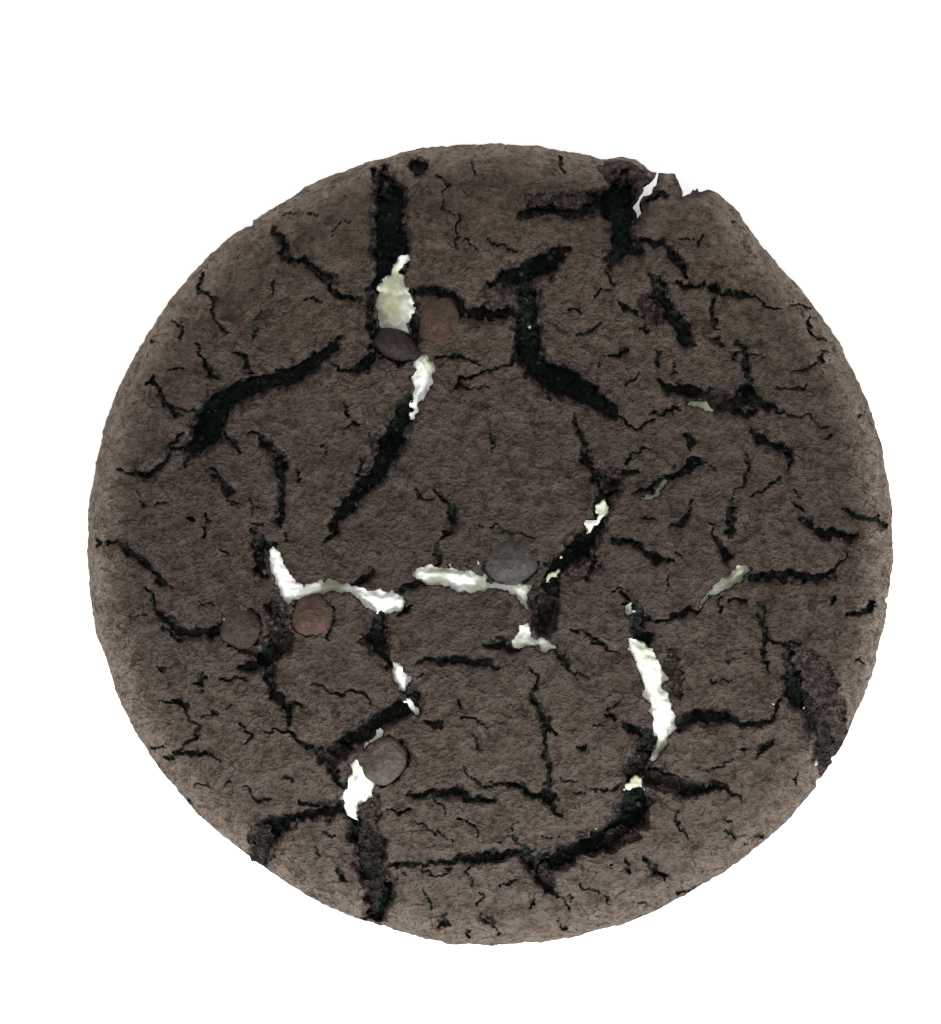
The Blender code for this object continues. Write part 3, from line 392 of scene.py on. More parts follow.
         (-20.5, 31.8, 0.9), (-19.5, 30.8, 0.9), (-18.5, 30.2, 1.0), (-17.5, 29.5, 0.7)),
        ((-17.7, 28.7, 0.5), (-16.5, 27.8, 0.9), (-15, 27.4, 0.8), (-14, 27.7, 0.3)),
        ((-20, 37, 0.3), (-19, 36.8, 0.3)),
        ((-23, 37.1, 0.3), (-21.5, 37, 0.3)),
        ((-17.5, 34.5, 0.2), (-16.5, 36.2, 0.2), (-14.5, 36.3, 0.2)),
        ((-20.5, 27.5, 0.3), (-18.3, 27.2, 0.3)),
        ((-32.2, 30.5, 0.4), (-32.3, 29, 0.5), (-32.2, 28.4, 0.5), (-31.2, 28, 0.3), (-30.4, 27.6, 0.5),
         (-30.6, 26.8, 0.3), (-31, 26.3, 0.3), (-30.3, 25.2, 0.3), (-29.9, 24.2, 0.35), (-29, 23.6, 0.5)),
        ((-35.3, 25, 0.3), (-34.2, 24.4, 0.3), (-34.3, 23, 0.3)),
        ((-37.7, 23.1, 0.5), (-37.5, 22.9, 0.5)),
        ((-23.7, 29.5, 0.3), (-23.9, 28, 0.25)),
        ((-25.5, 26, 0.25), (-25.9, 25, 0.25)),
        ((-25.5, 24.5, 0.25), (-26.4, 23, 0.2)),
    ),
    "middle": (
        ((-9, 16.5, 1.2), (-9.2, 14.7, 2.3), (-10.3, 13, 2.2), (-11, 11.5, 3.0), (-11.4, 10, 2.2),
         (-12.2, 8.3, 2.0), (-13.5, 7, 1.8), (-14.8, 5.5, 1.8), (-16, 4, 1.6), (-17.3, 2.5, 1.3),
         (-17, 1.3, 0.9), (-18.2, 0.5, 0.5)),
        ((-14.2, 9.7, 0.6), (-14.2, 8, 1.0), (-13.8, 7, 0.8)),
        ((-12, 20.9, 0.5), (-10, 20.5, 0.6), (-9, 20.4, 0.6)),
        ((-6, 21, 0.5), (-4.8, 21, 0.4), (-3, 21.2, 0.4), (-1.3, 20.2, 0.25)),
        ((-8.3, 6.4, 0.25), (-7.5, 5.7, 0.4), (-6.5, 5.3, 0.3)),
        ((-6, 6, 0.4), (-5, 5.2, 0.6), (-4, 4.3, 0.7), (-3.8, 3.2, 1.1), (-3.9, 2.3, 0.8), (-4.8, 1.2, 0.4),
         (-5.3, 0.3, 0.4)),
        ((-1.2, 2.2, 0.2), (1, 2.1, 0.2), (2, 1.7, 0.2), (4, 1.2, 0.2), (5, 0.7, 0.2)),
        ((-3.5, 17.6, 0.5), (-3, 18.3, 0.7), (-2, 18.5, 0.6), (-1, 19.3, 0.4), (1, 19.6, 0.3),
         (2.5, 20.3, 0.5), (3, 21, 0.8)),
        ((-3.2, 17.7, 0.5), (-1, 17.6, 0.3), (0.3, 17.7, 0.25)),
        ((0.3, 12.5, 0.2), (0.4, 11.5, 0.35), (0.6, 10.3, 0.25)),
        ((-16, 15.7, 0.4), (-15.5, 14.8, 0.5)),
        ((-16.2, 13, 0.4), (-15, 13.6, 0.4), (-14.6, 13.3, 0.4)),
        ((-13.2, 12.5, 0.3), (-13, 11.5, 0.3)),
        ((9.4, 14.8, 0.3), (9.8, 13.5, 0.6), (10.3, 12.3, 0.8), (10.8, 11.3, 0.8), (10.7, 10, 1.3),
         (11.5, 8.7, 1.4), (12.5, 7.3, 1.6), (13.3, 6.5, 2.4), (13, 5.3, 1.6), (12.6, 3.8, 1.6),
         (11.8, 2, 2.0), (11, 0.8, 2.4), (9.8, -0.5, 2.8), (8.5, -1.5, 2.0), (7.5, -2.5, 2.0),
         (6.8, -4.5, 2.0), (7.5, -5.2, 1.2)),
        ((11.8, -1.5, 1.2), (11.5, -3, 0.8), (11, -3.9, 0.5)),
        ((-12.2, -8.1, 1.6), (-12.2, -9.5, 2.0), (-12.6, -10.6, 2.0), (-11.7, -12, 1.4), (-11, -13.3, 0.8)),
        ((-13.9, -10.3, 0.8), (-13.5, -10.3, 1.0)),
        ((-10.2, -7.6, 0.6), (-9.3, -7, 0.8), (-8.7, -6.6, 0.4)),
        ((-9.8, -5.2, 0.6), (-9, -4.8, 0.8), (-8, -4.2, 0.9), (-7, -4.5, 0.6)),
        ((6.2, -5.8, 1.4), (6.5, -7.4, 2.0), (6.2, -9, 1.5)),
        ((-15.3, -4.2, 0.6), (-13.8, -3.8, 1.2), (-13, -2.8, 0.8)),
        ((-5.8, 0, 0.4), (-5.7, -1, 0.5), (-5.7, -2, 0.5)),
        ((-8, -12.9, 0.4), (-6.5, -12.8, 0.6), (-5, -12.6, 0.9), (-3, -12.7, 0.9), (-1.5, -13.1, 1.1),
         (0, -12.9, 0.8), (1, -13.6, 0.5)),
        ((-0.8, -11.2, 0.4), (0.5, -11, 0.9), (1.5, -11, 1.2), (3, -11.3, 1.2)),
        ((-3.3, -17.3, 0.5), (-2.9, -18, 0.25), (-2.2, -18.7, 0.2)),
        ((-3.3, -19, 0.25), (-2, -19.2, 0.3), (-0.8, -19.6, 0.3), (0, -20.3, 0.2)),
        ((-8.2, -14.8, 0.3), (-7.3, -14.6, 0.3)),
        ((7.3, -12, 0.5), (8.5, -12.6, 0.8), (9, -13.5, 0.5), (9.8, -14.3, 0.4), (11, -14.5, 0.3)),
        ((9.2, -9.3, 0.4), (9.8, -9.8, 0.4)),
        ((10.2, -9.3, 0.4), (11.5, -10.3, 0.5), (12.5, -10.7, 0.5), (13.3, -11.6, 0.4), (15, -11.8, 0.2)),
        ((4.9, 20.9, 0.3), (5.8, 20.4, 0.3)),
    ),
}

# Openings where the filling shows: (x, y, width) down the middle of the white
WINDOWS = (
    ((-9.3, 31.9, 0.9), (-10.1, 31.1, 0.45), (-10.5, 30.4, 0.8), (-10.5, 29.3, 1.3), (-10.6, 28.4, 3.0),
     (-10.5, 27, 4.1), (-10.5, 25.6, 3.6), (-10.4, 24.9, 2.8)),
    ((-9.9, 24.8, 1.9), (-9.3, 23.5, 0.4)),
    ((-7.3, 20.6, 1.6), (-7.3, 19.5, 2.3), (-7.3, 18, 2.1), (-7.8, 16.5, 1.2), (-8.1, 15.3, 0.5),
     (-8.3, 14.4, 0.3)),
    ((-23.8, -0.6, 0.5), (-23.5, -2, 1.3), (-22.9, -3.9, 2.0), (-22, -5.2, 2.3), (-20.3, -5.2, 1.2),
     (-18.7, -4.7, 1.4), (-17, -4.6, 1.3), (-15, -5, 0.9), (-13.4, -5.8, 1.6), (-12.2, -6.2, 2.4),
     (-10.8, -6.2, 2.3), (-9.7, -6.2, 0.9)),
    ((-7.8, -3.2, 1.2), (-6.5, -3.3, 2.1), (-4.5, -3.5, 2.5), (-2.5, -3.9, 2.3), (-0.8, -4.2, 1.6),
     (0.1, -4.4, 0.6)),
    ((0.5, -4.4, 0.3), (2, -4.7, 0.7), (3.4, -4.9, 1.4), (3.8, -5.8, 1.2), (4, -7.2, 0.3)),
    ((3.4, -4.8, 0.8), (4.3, -4.7, 0.9), (5, -4.6, 0.5)),
    ((4.4, -8.7, 0.3), (4.2, -9.8, 1.5), (4, -10.6, 2.0)),
    ((3.2, -10.7, 1.0), (5.2, -10.8, 1.0), (6.5, -10.9, 0.8), (7.4, -11.5, 0.5)),
    ((-10.4, -13, 0.4), (-10, -14, 1.4), (-9.6, -15, 1.8), (-9.6, -15.9, 0.8)),
    ((-14.6, -24.2, 0.8), (-14.7, -25, 1.5), (-14.2, -26, 2.4), (-14, -26.8, 2.8), (-14.3, -27.6, 2.6),
     (-15, -28.2, 2.2), (-15.2, -28.8, 1.6), (-15.1, -29.8, 1.2), (-15, -30.6, 0.8)),
    ((-16.8, -28, 0.4), (-15.8, -27.8, 0.9)),
    ((15.9, -10.5, 0.5), (16.6, -11.8, 1.8), (17.7, -12.8, 2.4), (18.3, -14.5, 2.6), (18.5, -16.3, 2.4),
     (19, -17.7, 2.2), (19.5, -19, 2.8), (19.3, -20.3, 2.2), (19.6, -21.6, 1.2), (18.9, -23, 0.7),
     (18.3, -23.9, 0.4)),
    ((23.6, -6.8, 0.25), (24.5, -5.4, 0.5), (25.5, -4.7, 0.9), (27, -4, 1.3), (28.2, -3.1, 1.3),
     (29.2, -2.6, 0.4)),
    ((22.3, 15.5, 0.5), (23, 15.8, 0.6), (24, 15.7, 0.7), (25, 15.1, 0.4)),
    ((17.3, 5.4, 0.3), (18.5, 5.7, 0.5), (19.3, 6.4, 0.5), (19.8, 7.1, 0.3)),
    ((12.8, 4.8, 0.3), (12.8, 3.8, 0.9), (12, 2.9, 0.6), (11.2, 2.3, 0.4), (11.1, 1.7, 0.25)),
    ((15.9, -26.6, 0.8), (16.6, -26.5, 1.0), (17.3, -27, 0.3)),
    ((16.2, -26.1, 0.5), (16.7, -26, 0.4)),
    ((15.4, -6.5, 0.4), (15.6, -7.2, 0.6), (15.7, -7.6, 0.3)),
    ((6.7, -3.7, 0.3), (7.6, -3.3, 0.6), (7.8, -2.8, 0.3)),
    ((-13.8, -22.3, 0.4), (-12.8, -21.7, 0.6), (-12, -21, 0.7), (-11.8, -20.6, 0.4)),
    ((-9, -17.2, 0.4), (-8.4, -18, 0.6), (-7.9, -18.6, 0.7)),
)

# Where the smooth crust is torn away and rough crumb shows: (x, y, half sizes, turn in degrees, depth)
TORN = (
    (1.6, 27.7, 2.1, 1.4, 0, -0.3), (7.8, 38.5, 4.2, 1.0, 3, 0.8), (18.2, 26.2, 1.4, 1.9, 20, 1.2),
    (37.4, -17.9, 2.4, 6.8, 15, 2.0), (-23.0, -9.0, 1.5, 3.0, 8, 1.4), (6.3, -7.5, 1.75, 2.5, 0, 2.4),
    (20.8, -14.2, 0.9, 3.2, 8, 1.0), (13.6, 7.6, 1.6, 1.7, 0, 1.0), (26.2, 16.2, 2.6, 1.4, 0, 1.9),
    (-25.3, -33.2, 1.8, 2.4, 15, 1.6), (-13.0, -35.6, 1.7, 5.5, 4, 1.4), (-13.0, -29.2, 1.3, 2.1, 0, 1.2),
    (-17.2, -23.4, 2.0, 1.3, 20, 1.5), (14.6, -32.6, 2.4, 1.2, 15, 1.4), (16.6, -24.4, 1.6, 1.6, 0, 1.6),
    (15.2, 41.7, 3.0, 1.5, -14, 0.6), (19.6, -26.4, 2.2, 1.2, -20, 0.9), (38.3, -23.2, 1.6, 3.0, -8, 1.6),
    (-17.6, 29.8, 1.2, 0.7, -30, 0.5), (6.4, -36.8, 1.2, 1.6, 10, 1.0), (10.6, -2.6, 1.6, 1.3, 20, 0.6),
)

# Chocolate chips: half length, width over length, rise above the crust, turn in degrees, how far dough laps
# over them, the side that it comes from in degrees, and the colour
Chip = collections.namedtuple("Chip", "node x y half narrow rise turn cover side code")
CHIPS = (
    Chip("chip_north", -5.5, 24.7, 3.0, 0.76, -0.9, 80, 0.34, -50, "382B23"),
    Chip("chip_north_dark", -10.1, 22.2, 2.8, 0.62, -1.0, -27, 0.1, 0, "211A19"),
    Chip("chip_west", -19.4, -7.8, 2.5, 0.93, -0.9, 60, 0.30, -35, "3E2F28"),
    Chip("chip_west_round", -27.4, -9.2, 2.4, 0.97, -0.8, 0, 0.18, 110, "322A25"),
    Chip("chip_south_west", -11.5, -24.0, 2.8, 0.86, -0.8, 60, 0.46, 165, "473F3A"),
    Chip("chip_centre", 2.5, -1.8, 3.2, 0.78, -1.0, 5, 0.38, 90, "3A3735"),
)
CHIP_HEIGHT_SHARE = 0.62
CHIP_COLUMNS = 110
CHIP_ROWS = 54

# Small blobs of filling on the crust: (x, y, width)
FLECKS = (
    (12, -31.6, 0.25), (8.1, -1.3, 0.3), (-29.3, -8.3, 0.3), (4.6, 24.3, 0.4), (-1.1, -1.9, 0.4),
    (31.8, -17.7, 0.25), (35.3, -18.2, 0.25), (36.7, -24.5, 0.4), (15.2, -27.2, 0.25),
)

# Places where the filling lies deep in shade, painted duller, greyer and yellower: (x, y, reach)
SHADED_CREAM = (
    (-10.5, 29.4, 1.9), (-10.9, 26.6, 2.4), (7.3, -3.3, 1.7), (24.0, 15.6, 2.3), (-17.3, -4.4, 1.5),
    (18.6, 6.0, 2.1), (16.7, -26.4, 1.3), (19.1, -22.6, 1.2), (27.4, -3.6, 1.4),
)

# The deep, creamy bead in the north crack: (x, y, half width, half height)
DEEP_BEAD = (-10.5, 27.3, 3.4, 4.6)

# How far cracks stray from their paths: (shift, size of the noise, seed for x, seed for y)
STRAYING = ((0.34, 2.1, 13, 14), (0.42, 0.95, 15, 16), (0.2, 0.45, 18, 19))

# Unevenness as layers of noise: (height, size, seed)
CRUST_PLATES = ((0.22, 6.5, 21), (0.13, 2.4, 22))
CRUST_GRAIN = ((0.10, 1.0, 23), (0.07, 0.5, 24))
RIM_LUMPS_X = ((0.12, 2.3, 26), (0.10, 0.8, 27))
RIM_LUMPS_Y = ((0.12, 2.3, 28), (0.10, 0.8, 29))
GAP_LUMPS_X = ((0.10, 1.1, 51), (0.06, 0.5, 52))
GAP_LUMPS_Y = ((0.10, 1.1, 53), (0.06, 0.5, 54))
FILLING_BUMPS = ((0.22, 1.6, 31), (0.10, 0.6, 32))

# The relief: width of the finest cracks, least width of a crack with ragged flanks, depth of the openings
# for the filling and of the sockets for the chips, and the shares of a hollow's reach where its wall runs
FINEST_CRACK = 0.28
FLANKED_CRACK = 0.65
OPENING_DEPTH = 5.0
SOCKET_DEPTH = 1.7
HOLLOW_WALL = (0.86, 1.02)

# Steps of the turned profile for its top and for its side, and rings of faces under the widest one
TOP_STEPS = 400
SIDE_STEPS = 60
CRUST_RINGS = 44
FILLING_RINGS = 16

# Seeds of the random draws for crumbs and blobs
PLACES_SEED = 5
CRUMBS_SEED = 8
FLECKS_SEED = 9

# Faces that meet at more degrees than this are shaded with a sharp edge
SHARP_ANGLE = 55

# Grained surfaces: how far up the grain, and what the middle colour is multiplied by there: the grain's own
# specks, with painted shade darkening its hollows and painted light paling its tops
GRAIN_SPECKS_AND_SHADE = (
    (0.34, (0.20, 0.14, 0.10)), (0.43, (0.60, 0.56, 0.53)), (0.50, (1.0, 1.0, 1.0)),
    (0.57, (1.34, 1.38, 1.42)), (0.66, (1.85, 1.95, 2.05)),
)

# Painted light: what the crust's colour is multiplied by in front, where the key light falls, and behind, on
# the side the dome turns from it
FRONT_PAINTED_LIGHT = (1.52, 1.57, 1.60, 1)
BACK_PAINTED_LIGHT = (1.30, 1.27, 1.22, 1)

# The picture's frame: millimetres that its height spans, and where its middle lies on the cookie
FRAME_HEIGHT = 115.2
FRAME_MIDDLE = (-1.97, 3.71)
CAMERA_HEIGHT = 1000.0
SENSOR_WIDTH = 36.0

# The stage: half side, height and glow of the sheet, and the lamp's width, place and turn in degrees
SHEET_HALF_SIDE = 1500.0
SHEET_HEIGHT = -0.05
SHEET_GLOW = 0.4
LAMP_WIDTH = 450.0
LAMP_PLACE = (120.0, -850.0, 620.0)
LAMP_TURN = (54, 0, 8)

# Odd numbers that mix the bits of a number for the noise
GOLDEN_MIXER = 0x9E3779B1
LAST_MIXER = 0x85EBCA6B
AXIS_MIXERS = (0x8DA6B343, 0xD8163841, 0xCB1AB31F)


def linear(code):
    """sRGB hex code as linear red, green and blue."""
    values = [int(code[i:i + 2], 16) / 255 for i in (0, 2, 4)]
    return tuple(v / 12.92 if v <= 0.04045 else ((v + 0.055) / 1.055) ** 2.4 for v in values)


def hashed(cell, seed):
    """Well mixed unsigned 32-bit number for each lattice cell: multiply, shift and exclusive-or."""
    bits = np.full(len(cell), (seed * GOLDEN_MIXER) % 2**32, np.uint32)
    for column, mixer in zip(cell.T, AXIS_MIXERS):
        bits = (bits ^ (column.astype(np.uint32) * np.uint32(mixer))) * np.uint32(GOLDEN_MIXER)
        bits ^= bits >> np.uint32(15)
    bits *= np.uint32(LAST_MIXER)
    return bits ^ (bits >> np.uint32(13))


def noise(points, size, seed):
    """Gradient noise from about -1 to 1: each lattice corner has a slope, and slopes blend by a quintic.

    Ten bits of a corner's number give its slope along each axis, from -1 to 1.
    """
    scaled = points / size
    cell = np.floor(scaled)
    within = scaled - cell
    cell = cell.astype(np.int64)
    ease = within**3 * (within * (within * 6 - 15) + 10)
    total = np.zeros(len(points))
    for corner in itertools.product((0, 1), repeat=points.shape[1]):
        bits = hashed(cell + np.array(corner), seed)
        weight = np.ones(len(points))
        slope = np.zeros(len(points))
        for axis, step in enumerate(corner):
            gradient = ((bits >> np.uint32(10 * axis)) & np.uint32(1023)) / 511.5 - 1
            slope += gradient * (within[:, axis] - step)
            weight *= ease[:, axis] if step else 1 - ease[:, axis]
        total += weight * slope
    return total * 1.6


def layered(points, layers):
    """Sum of layers of noise, each (height, size, seed)."""
    return sum(height * noise(points, size, seed) for height, size, seed in layers)


def smoothstep(low, high, values):
    """0 below low, 1 above high, and 3t^2 - 2t^3 between."""
    t = np.clip((values - low) / (high - low), 0, 1)
    return t * t * (3 - 2 * t)


def bell(angle, centre, half_width):
    """exp(-(angle / half width)^2) round the circle, in degrees."""
    away = (angle - centre + 180) % 360 - 180
    return np.exp(-((away / half_width) ** 2))


def rim_factor(angle):
    """How much wider than a circle the cookie is: 1 plus a sum of bells."""
    degrees = np.degrees(angle)
    return 1 + sum(rise * bell(degrees, centre, half) for centre, rise, half in RIM_SWELLS) / RADIUS


def rim_dent(angle, share, below):
    """How far the rim's small dents push points in.

    The push fades within 0.037 of the radius on top, and from 0.885 to 0.60 of it underneath.
    """
    degrees = np.degrees(angle)
    fade = np.where(below, smoothstep(0.60, 0.885, share), smoothstep(1 - 0.037, 1, share))
    total = np.zeros_like(angle)
    for centre, depth, half in RIM_DENTS:
        away = np.abs((degrees - centre + 180) % 360 - 180)
        total += depth * (1 - smoothstep(0.2 * half, 1.3 * half, away)) * fade
    return total


def dome(share):
    """Height of the top at a share of the way out: widest height plus rise * sqrt(1 - share^power)."""
    return WIDEST_HEIGHT + DOME_RISE * np.sqrt(np.maximum(0, 1 - share**DOME_POWER))


def swell(x, y):
    """Low rises and hollows of the crust: a few sine waves that fade out at the rim."""
    fade = np.maximum(0, 1 - (x * x + y * y) / RADIUS**2)
    waves = sum(
        height * np.sin(across_x * x / RADIUS * math.pi + across_y * y / RADIUS * math.pi + phase)
        for across_x, across_y, phase, height in SWELLS
    )
    return fade * waves


def share_out(x, y):
    """How far out points lie: 0 in the middle and 1 at the rim."""
    return np.hypot(x, y) / (RADIUS * rim_factor(np.arctan2(y, x)))


def plain_height(x, y):
    """Height of the crust without its cracks."""
    return dome(np.minimum(share_out(x, y), 1)) + swell(x, y)


def room_below(height):
    """How deep the relief may go at a height of the crust: most of the way to just above the widest ring."""
    return 0.85 * np.maximum(0, height - WIDEST_HEIGHT - 0.4)


def edge_distance(x, y, path, reach):
    """Numbers of the points within reach of a path, how far outside its edge they lie, and its width there.

    Points inside the path have a negative distance.
    """
    path = np.array(path, float)
    margin = reach + path[:, 2].max() / 2
    low = path[:, :2].min(0) - margin
    high = path[:, :2].max(0) + margin
    near = np.nonzero((x > low[0]) & (x < high[0]) & (y > low[1]) & (y < high[1]))[0]
    px, py = x[near], y[near]
    edge = np.full(len(near), np.inf)
    width = np.zeros(len(near))
    for start, end in zip(path, path[1:]):
        along = end - start
        dot = (px - start[0]) * along[0] + (py - start[1]) * along[1]
        t = np.clip(dot / (along[0]**2 + along[1]**2), 0, 1)
        here = start[2] + along[2] * t
        away = np.hypot(px - start[0] - t * along[0], py - start[1] - t * along[1]) - here / 2
        closer = away < edge
        edge[closer] = away[closer]
        width[closer] = here[closer]
    return near, edge, width


def chip_outline(angle, seed):
    """How far a chip reaches, about 0.85 to 1.15, in a direction of its own plan: noise round a ring."""
    ring = 1.3 * np.stack([np.cos(angle), np.sin(angle)], 1)
    return 1 + 0.17 * noise(ring, 1.0, 60 + seed)


class Relief:
    """Depth of the crust's cracks, openings and torn places at points seen from above, in millimetres.

    The points are shifted by noise before they are measured, which makes every edge ragged.
    """

    LIP_REACH = 2.6

    def __init__(self, x, y):
        plan = np.stack([x, y], 1)
        self.lumps = noise(plan, 1.1, 11)
        self.fine = noise(plan, 0.5, 12)
        self.uneven = noise(plan, 1.9, 17)
        self.x, self.y = x.copy(), y.copy()
        for shift, size, seed_x, seed_y in STRAYING:
            self.x += shift * noise(plan, size, seed_x)
            self.y += shift * noise(plan, size, seed_y)
        self.crack = np.zeros(len(x))
        self.lip = np.zeros(len(x))
        self.edge = np.full(len(x), self.LIP_REACH)
        self.broad = np.zeros(len(x))
        self.window = np.full(len(x), self.LIP_REACH)
        for path in itertools.chain.from_iterable(CRACKS.values()):
            self.add_crack(path)
        for path in WINDOWS:
            near, edge, _ = edge_distance(self.x, self.y, path, self.LIP_REACH)
            self.window[near] = np.minimum(self.window[near], edge)
        self.edge = np.minimum(self.edge, self.window)
        self.broad = np.maximum(self.broad, 0.55 * np.exp(-np.maximum(self.window, 0) / 0.7))
        self.tear()
        self.set_chips()
        self.combine()

    def add_crack(self, path):
        """Steep walls to a floor at 1.6 * width^0.8, a ragged flank beside them, and a rolled edge."""
        near, edge, width = edge_distance(self.x, self.y, path, self.LIP_REACH)
        width = np.maximum(width, FINEST_CRACK)
        size = np.clip(width / 2, 0, 1)
        wall = 0.09 + 0.08 * width
        walled = 1.6 * width**0.8 * smoothstep(0, 1, -edge / wall)
        flank = np.clip(0.5 + 0.9 * self.uneven[near], 0, 1) * (0.15 + 0.75 * size)
        sloping = 1 - smoothstep(0, 1, edge / np.maximum(flank, 1e-9))
        flanked = 0.55 * width * sloping * (width > FLANKED_CRACK)
        self.crack[near] = np.maximum(self.crack[near], np.maximum(walled, flanked))
        out = np.maximum(edge, 0)
        roll = 0.06 * np.minimum(width, 1.6) * np.exp(-out / 0.3) + 0.14 * size * np.exp(-out / 1.1)
        self.lip[near] = np.maximum(self.lip[near], roll)
        self.edge[near] = np.minimum(self.edge[near], edge)
        self.broad[near] = np.maximum(self.broad[near], size * np.exp(-out / 1.3))

    def tear(self):
        """Bowls with ragged edges where the skin is torn away."""
        self.torn = np.zeros(len(self.x))
        self.bowl = np.zeros(len(self.x))
        for cx, cy, half_x, half_y, turn, deep in TORN:
            lean = math.radians(turn)
            u = ((self.x - cx) * math.cos(lean) + (self.y - cy) * math.sin(lean)) / half_x
            v = (-(self.x - cx) * math.sin(lean) + (self.y - cy) * math.cos(lean)) / half_y
            share = u * u + v * v
            inside = 1 - smoothstep(*HOLLOW_WALL, share + 0.25 * self.lumps + 0.3 * self.uneven)
            bowl = deep * inside * (1 - 0.45 * np.clip(share, 0, 1))
            self.bowl = np.where(np.abs(bowl) > np.abs(self.bowl), bowl, self.bowl)
            self.torn = np.maximum(self.torn, inside)

    def set_chips(self):
        """Sockets round the chips, and dough over the chips where they are covered."""
        self.socket = np.zeros(len(self.x))
        self.cover = np.zeros(len(self.x))
        for seed, chip in enumerate(CHIPS):
            near = np.nonzero(np.hypot(self.x - chip.x, self.y - chip.y) < 1.4 * chip.half)[0]
            right, up = self.x[near] - chip.x, self.y[near] - chip.y
            spin, side = math.radians(chip.turn), math.radians(chip.side)
            u = (right * math.cos(spin) + up * math.sin(spin)) / chip.half
            v = (up * math.cos(spin) - right * math.sin(spin)) / (chip.half * chip.narrow)
            away = np.hypot(u, v) / chip_outline(np.arctan2(v, u), seed)
            lean = (right * math.cos(side) + up * math.sin(side)) / chip.half
            top = chip.rise + CHIP_HEIGHT_SHARE * chip.half * np.sqrt(np.maximum(0, 1 - away**2)) + 0.22
            covered = smoothstep(0.42, 0.54, chip.cover + 0.45 * self.uneven[near] + 0.6 * lean)
            inside = 1 - smoothstep(*HOLLOW_WALL, away)
            self.socket[near] = np.maximum(self.socket[near], SOCKET_DEPTH * inside * (1 - covered))
            self.cover[near] = np.maximum(self.cover[near], np.maximum(top, 0) * covered * (away < 1))

    def combine(self):
        """Deepest of all, with lumps of crumb standing up from rough floors."""
        opening = OPENING_DEPTH * (1 - smoothstep(-0.16, 0.06, self.window))
        self.rough = np.maximum(smoothstep(0.2, 1.0, self.crack), self.torn)
        crumb = (0.35 + 0.3 * (self.rough - self.torn)) * self.rough * (np.abs(self.lumps) + 0.6 * self.fine)
        filled = self.crack * (1 - 0.4 * self.torn)
        cracked = np.maximum(filled + 0.6 * self.bowl, self.bowl) - crumb
        deepest = np.maximum(np.maximum(cracked, self.lip), self.socket) - self.cover
        self.total = np.maximum(deepest, opening)


def profile_table():
    """The turned profile as a table: distance along it, radius, height, outward normal, and its widest place.

    It runs over the top, down the side and in along the underside.
    """
    share = np.sin(np.linspace(0, math.pi / 2, TOP_STEPS)) ** 0.9
    top_r, top_z = RADIUS * share, dome(share)
    turn = np.linspace(0, math.pi / 2, SIDE_STEPS)[1:]
    side_r = BASE_RADIUS + (RADIUS - BASE_RADIUS) * np.cos(turn)
    side_z = WIDEST_HEIGHT * (1 - np.sin(turn))
    under_r = np.linspace(BASE_RADIUS, 0, SIDE_STEPS)[1:]
    radius = np.concatenate([top_r, side_r, under_r])
    height = np.concatenate([top_z, side_z, np.zeros(len(under_r))])
    along = np.concatenate([[0], np.cumsum(np.hypot(np.diff(radius), np.diff(height)))])
    step_r, step_z = np.gradient(radius, along), np.gradient(height, along)
    length = np.hypot(step_r, step_z)
    return along, radius, height, -step_z / length, step_r / length, along[len(top_r) - 1]


def disc_from_square(a, b):
    """Concentric map of a square onto a disc: radius is the larger side, and angle runs along the edge."""
    sideways = np.abs(a) > np.abs(b)
    safe_a = np.where(a == 0, 1, a)
    safe_b = np.where(b == 0, 1, b)
    radius = np.where(sideways, a, b)
    angle = np.where(sideways, math.pi / 4 * b / safe_a, math.pi / 2 - math.pi / 4 * a / safe_b)
    return np.abs(radius), np.where(radius < 0, angle + math.pi, angle)


def grid_faces(index):
    """Quads of a grid of point numbers."""
    return np.stack([index[:-1, :-1], index[1:, :-1], index[1:, 1:], index[:-1, 1:]], -1).reshape(-1, 4)


def square_border(lines):
    """Point numbers round the edge of a lines by lines grid, anticlockwise on the disc."""
    index = np.arange(lines * lines).reshape(lines, lines)
    return np.concatenate([index[-1, :-1], index[::-1, -1][:-1], index[0, ::-1][:-1], index[:, 0][:-1]])


def closed_disc(lines, rings):
    """Closed turned body: a square grid for the top, and rings of faces for the side and underside.

    Returns each point's distance along the profile, from 0 to 2 with 1 at the widest ring, and its angle.
    The quads follow, and the triangles round the pole underneath.
    """
    side = np.linspace(-1, 1, lines)
    a, b = np.meshgrid(side, side, indexing="ij")
    along, angle = disc_from_square(a.ravel(), b.ravel())
    border = square_border(lines)
    lower = 1 + np.linspace(0, 1, rings + 1)[1:-1]
    columns = len(border)
    first = lines * lines
    along = np.concatenate([along, np.repeat(lower, columns), [2.0]])
    angle = np.concatenate([angle, np.tile(angle[border], len(lower)), [0.0]])
    rows = np.concatenate([border[None], first + np.arange(len(lower) * columns).reshape(-1, columns)])
    closed = np.concatenate([rows, rows[:, :1]], 1)
    quads = [grid_faces(np.arange(lines * lines).reshape(lines, lines)), grid_faces(closed)]
    pole = np.full(columns, first + len(lower) * columns)
    last = closed[-1]
    fan = np.stack([last[:-1], pole, last[1:]], 1)
    return along, angle, np.concatenate(quads), fan


def placed(points):
    """Points on the cookie, in millimetres, as places in the frame, in metres."""
    return (points - np.array([CENTRE[0], CENTRE[1], 0])) * MM


def mesh_object(name, points, quads, triangles=np.zeros((0, 3), int)):
    """New object from points in millimetres, quads and triangles."""
    mesh = bpy.data.meshes.new(name)
    loops = np.concatenate([quads.ravel(), triangles.ravel()])
    sizes = np.repeat([4, 3], [len(quads), len(triangles)])
    starts = np.concatenate([[0], np.cumsum(sizes)[:-1]])
    mesh.vertices.add(len(points))
    mesh.vertices.foreach_set("co", placed(points).ravel().astype(np.float32))
    mesh.loops.add(len(loops))
    mesh.loops.foreach_set("vertex_index", loops.astype(np.int32))
    mesh.polygons.add(len(sizes))
    mesh.polygons.foreach_set("loop_start", starts.astype(np.int32))
    mesh.update(calc_edges=True)
    mesh.validate()
    item = bpy.data.objects.new(name, mesh)
    bpy.context.scene.collection.objects.link(item)
    return item


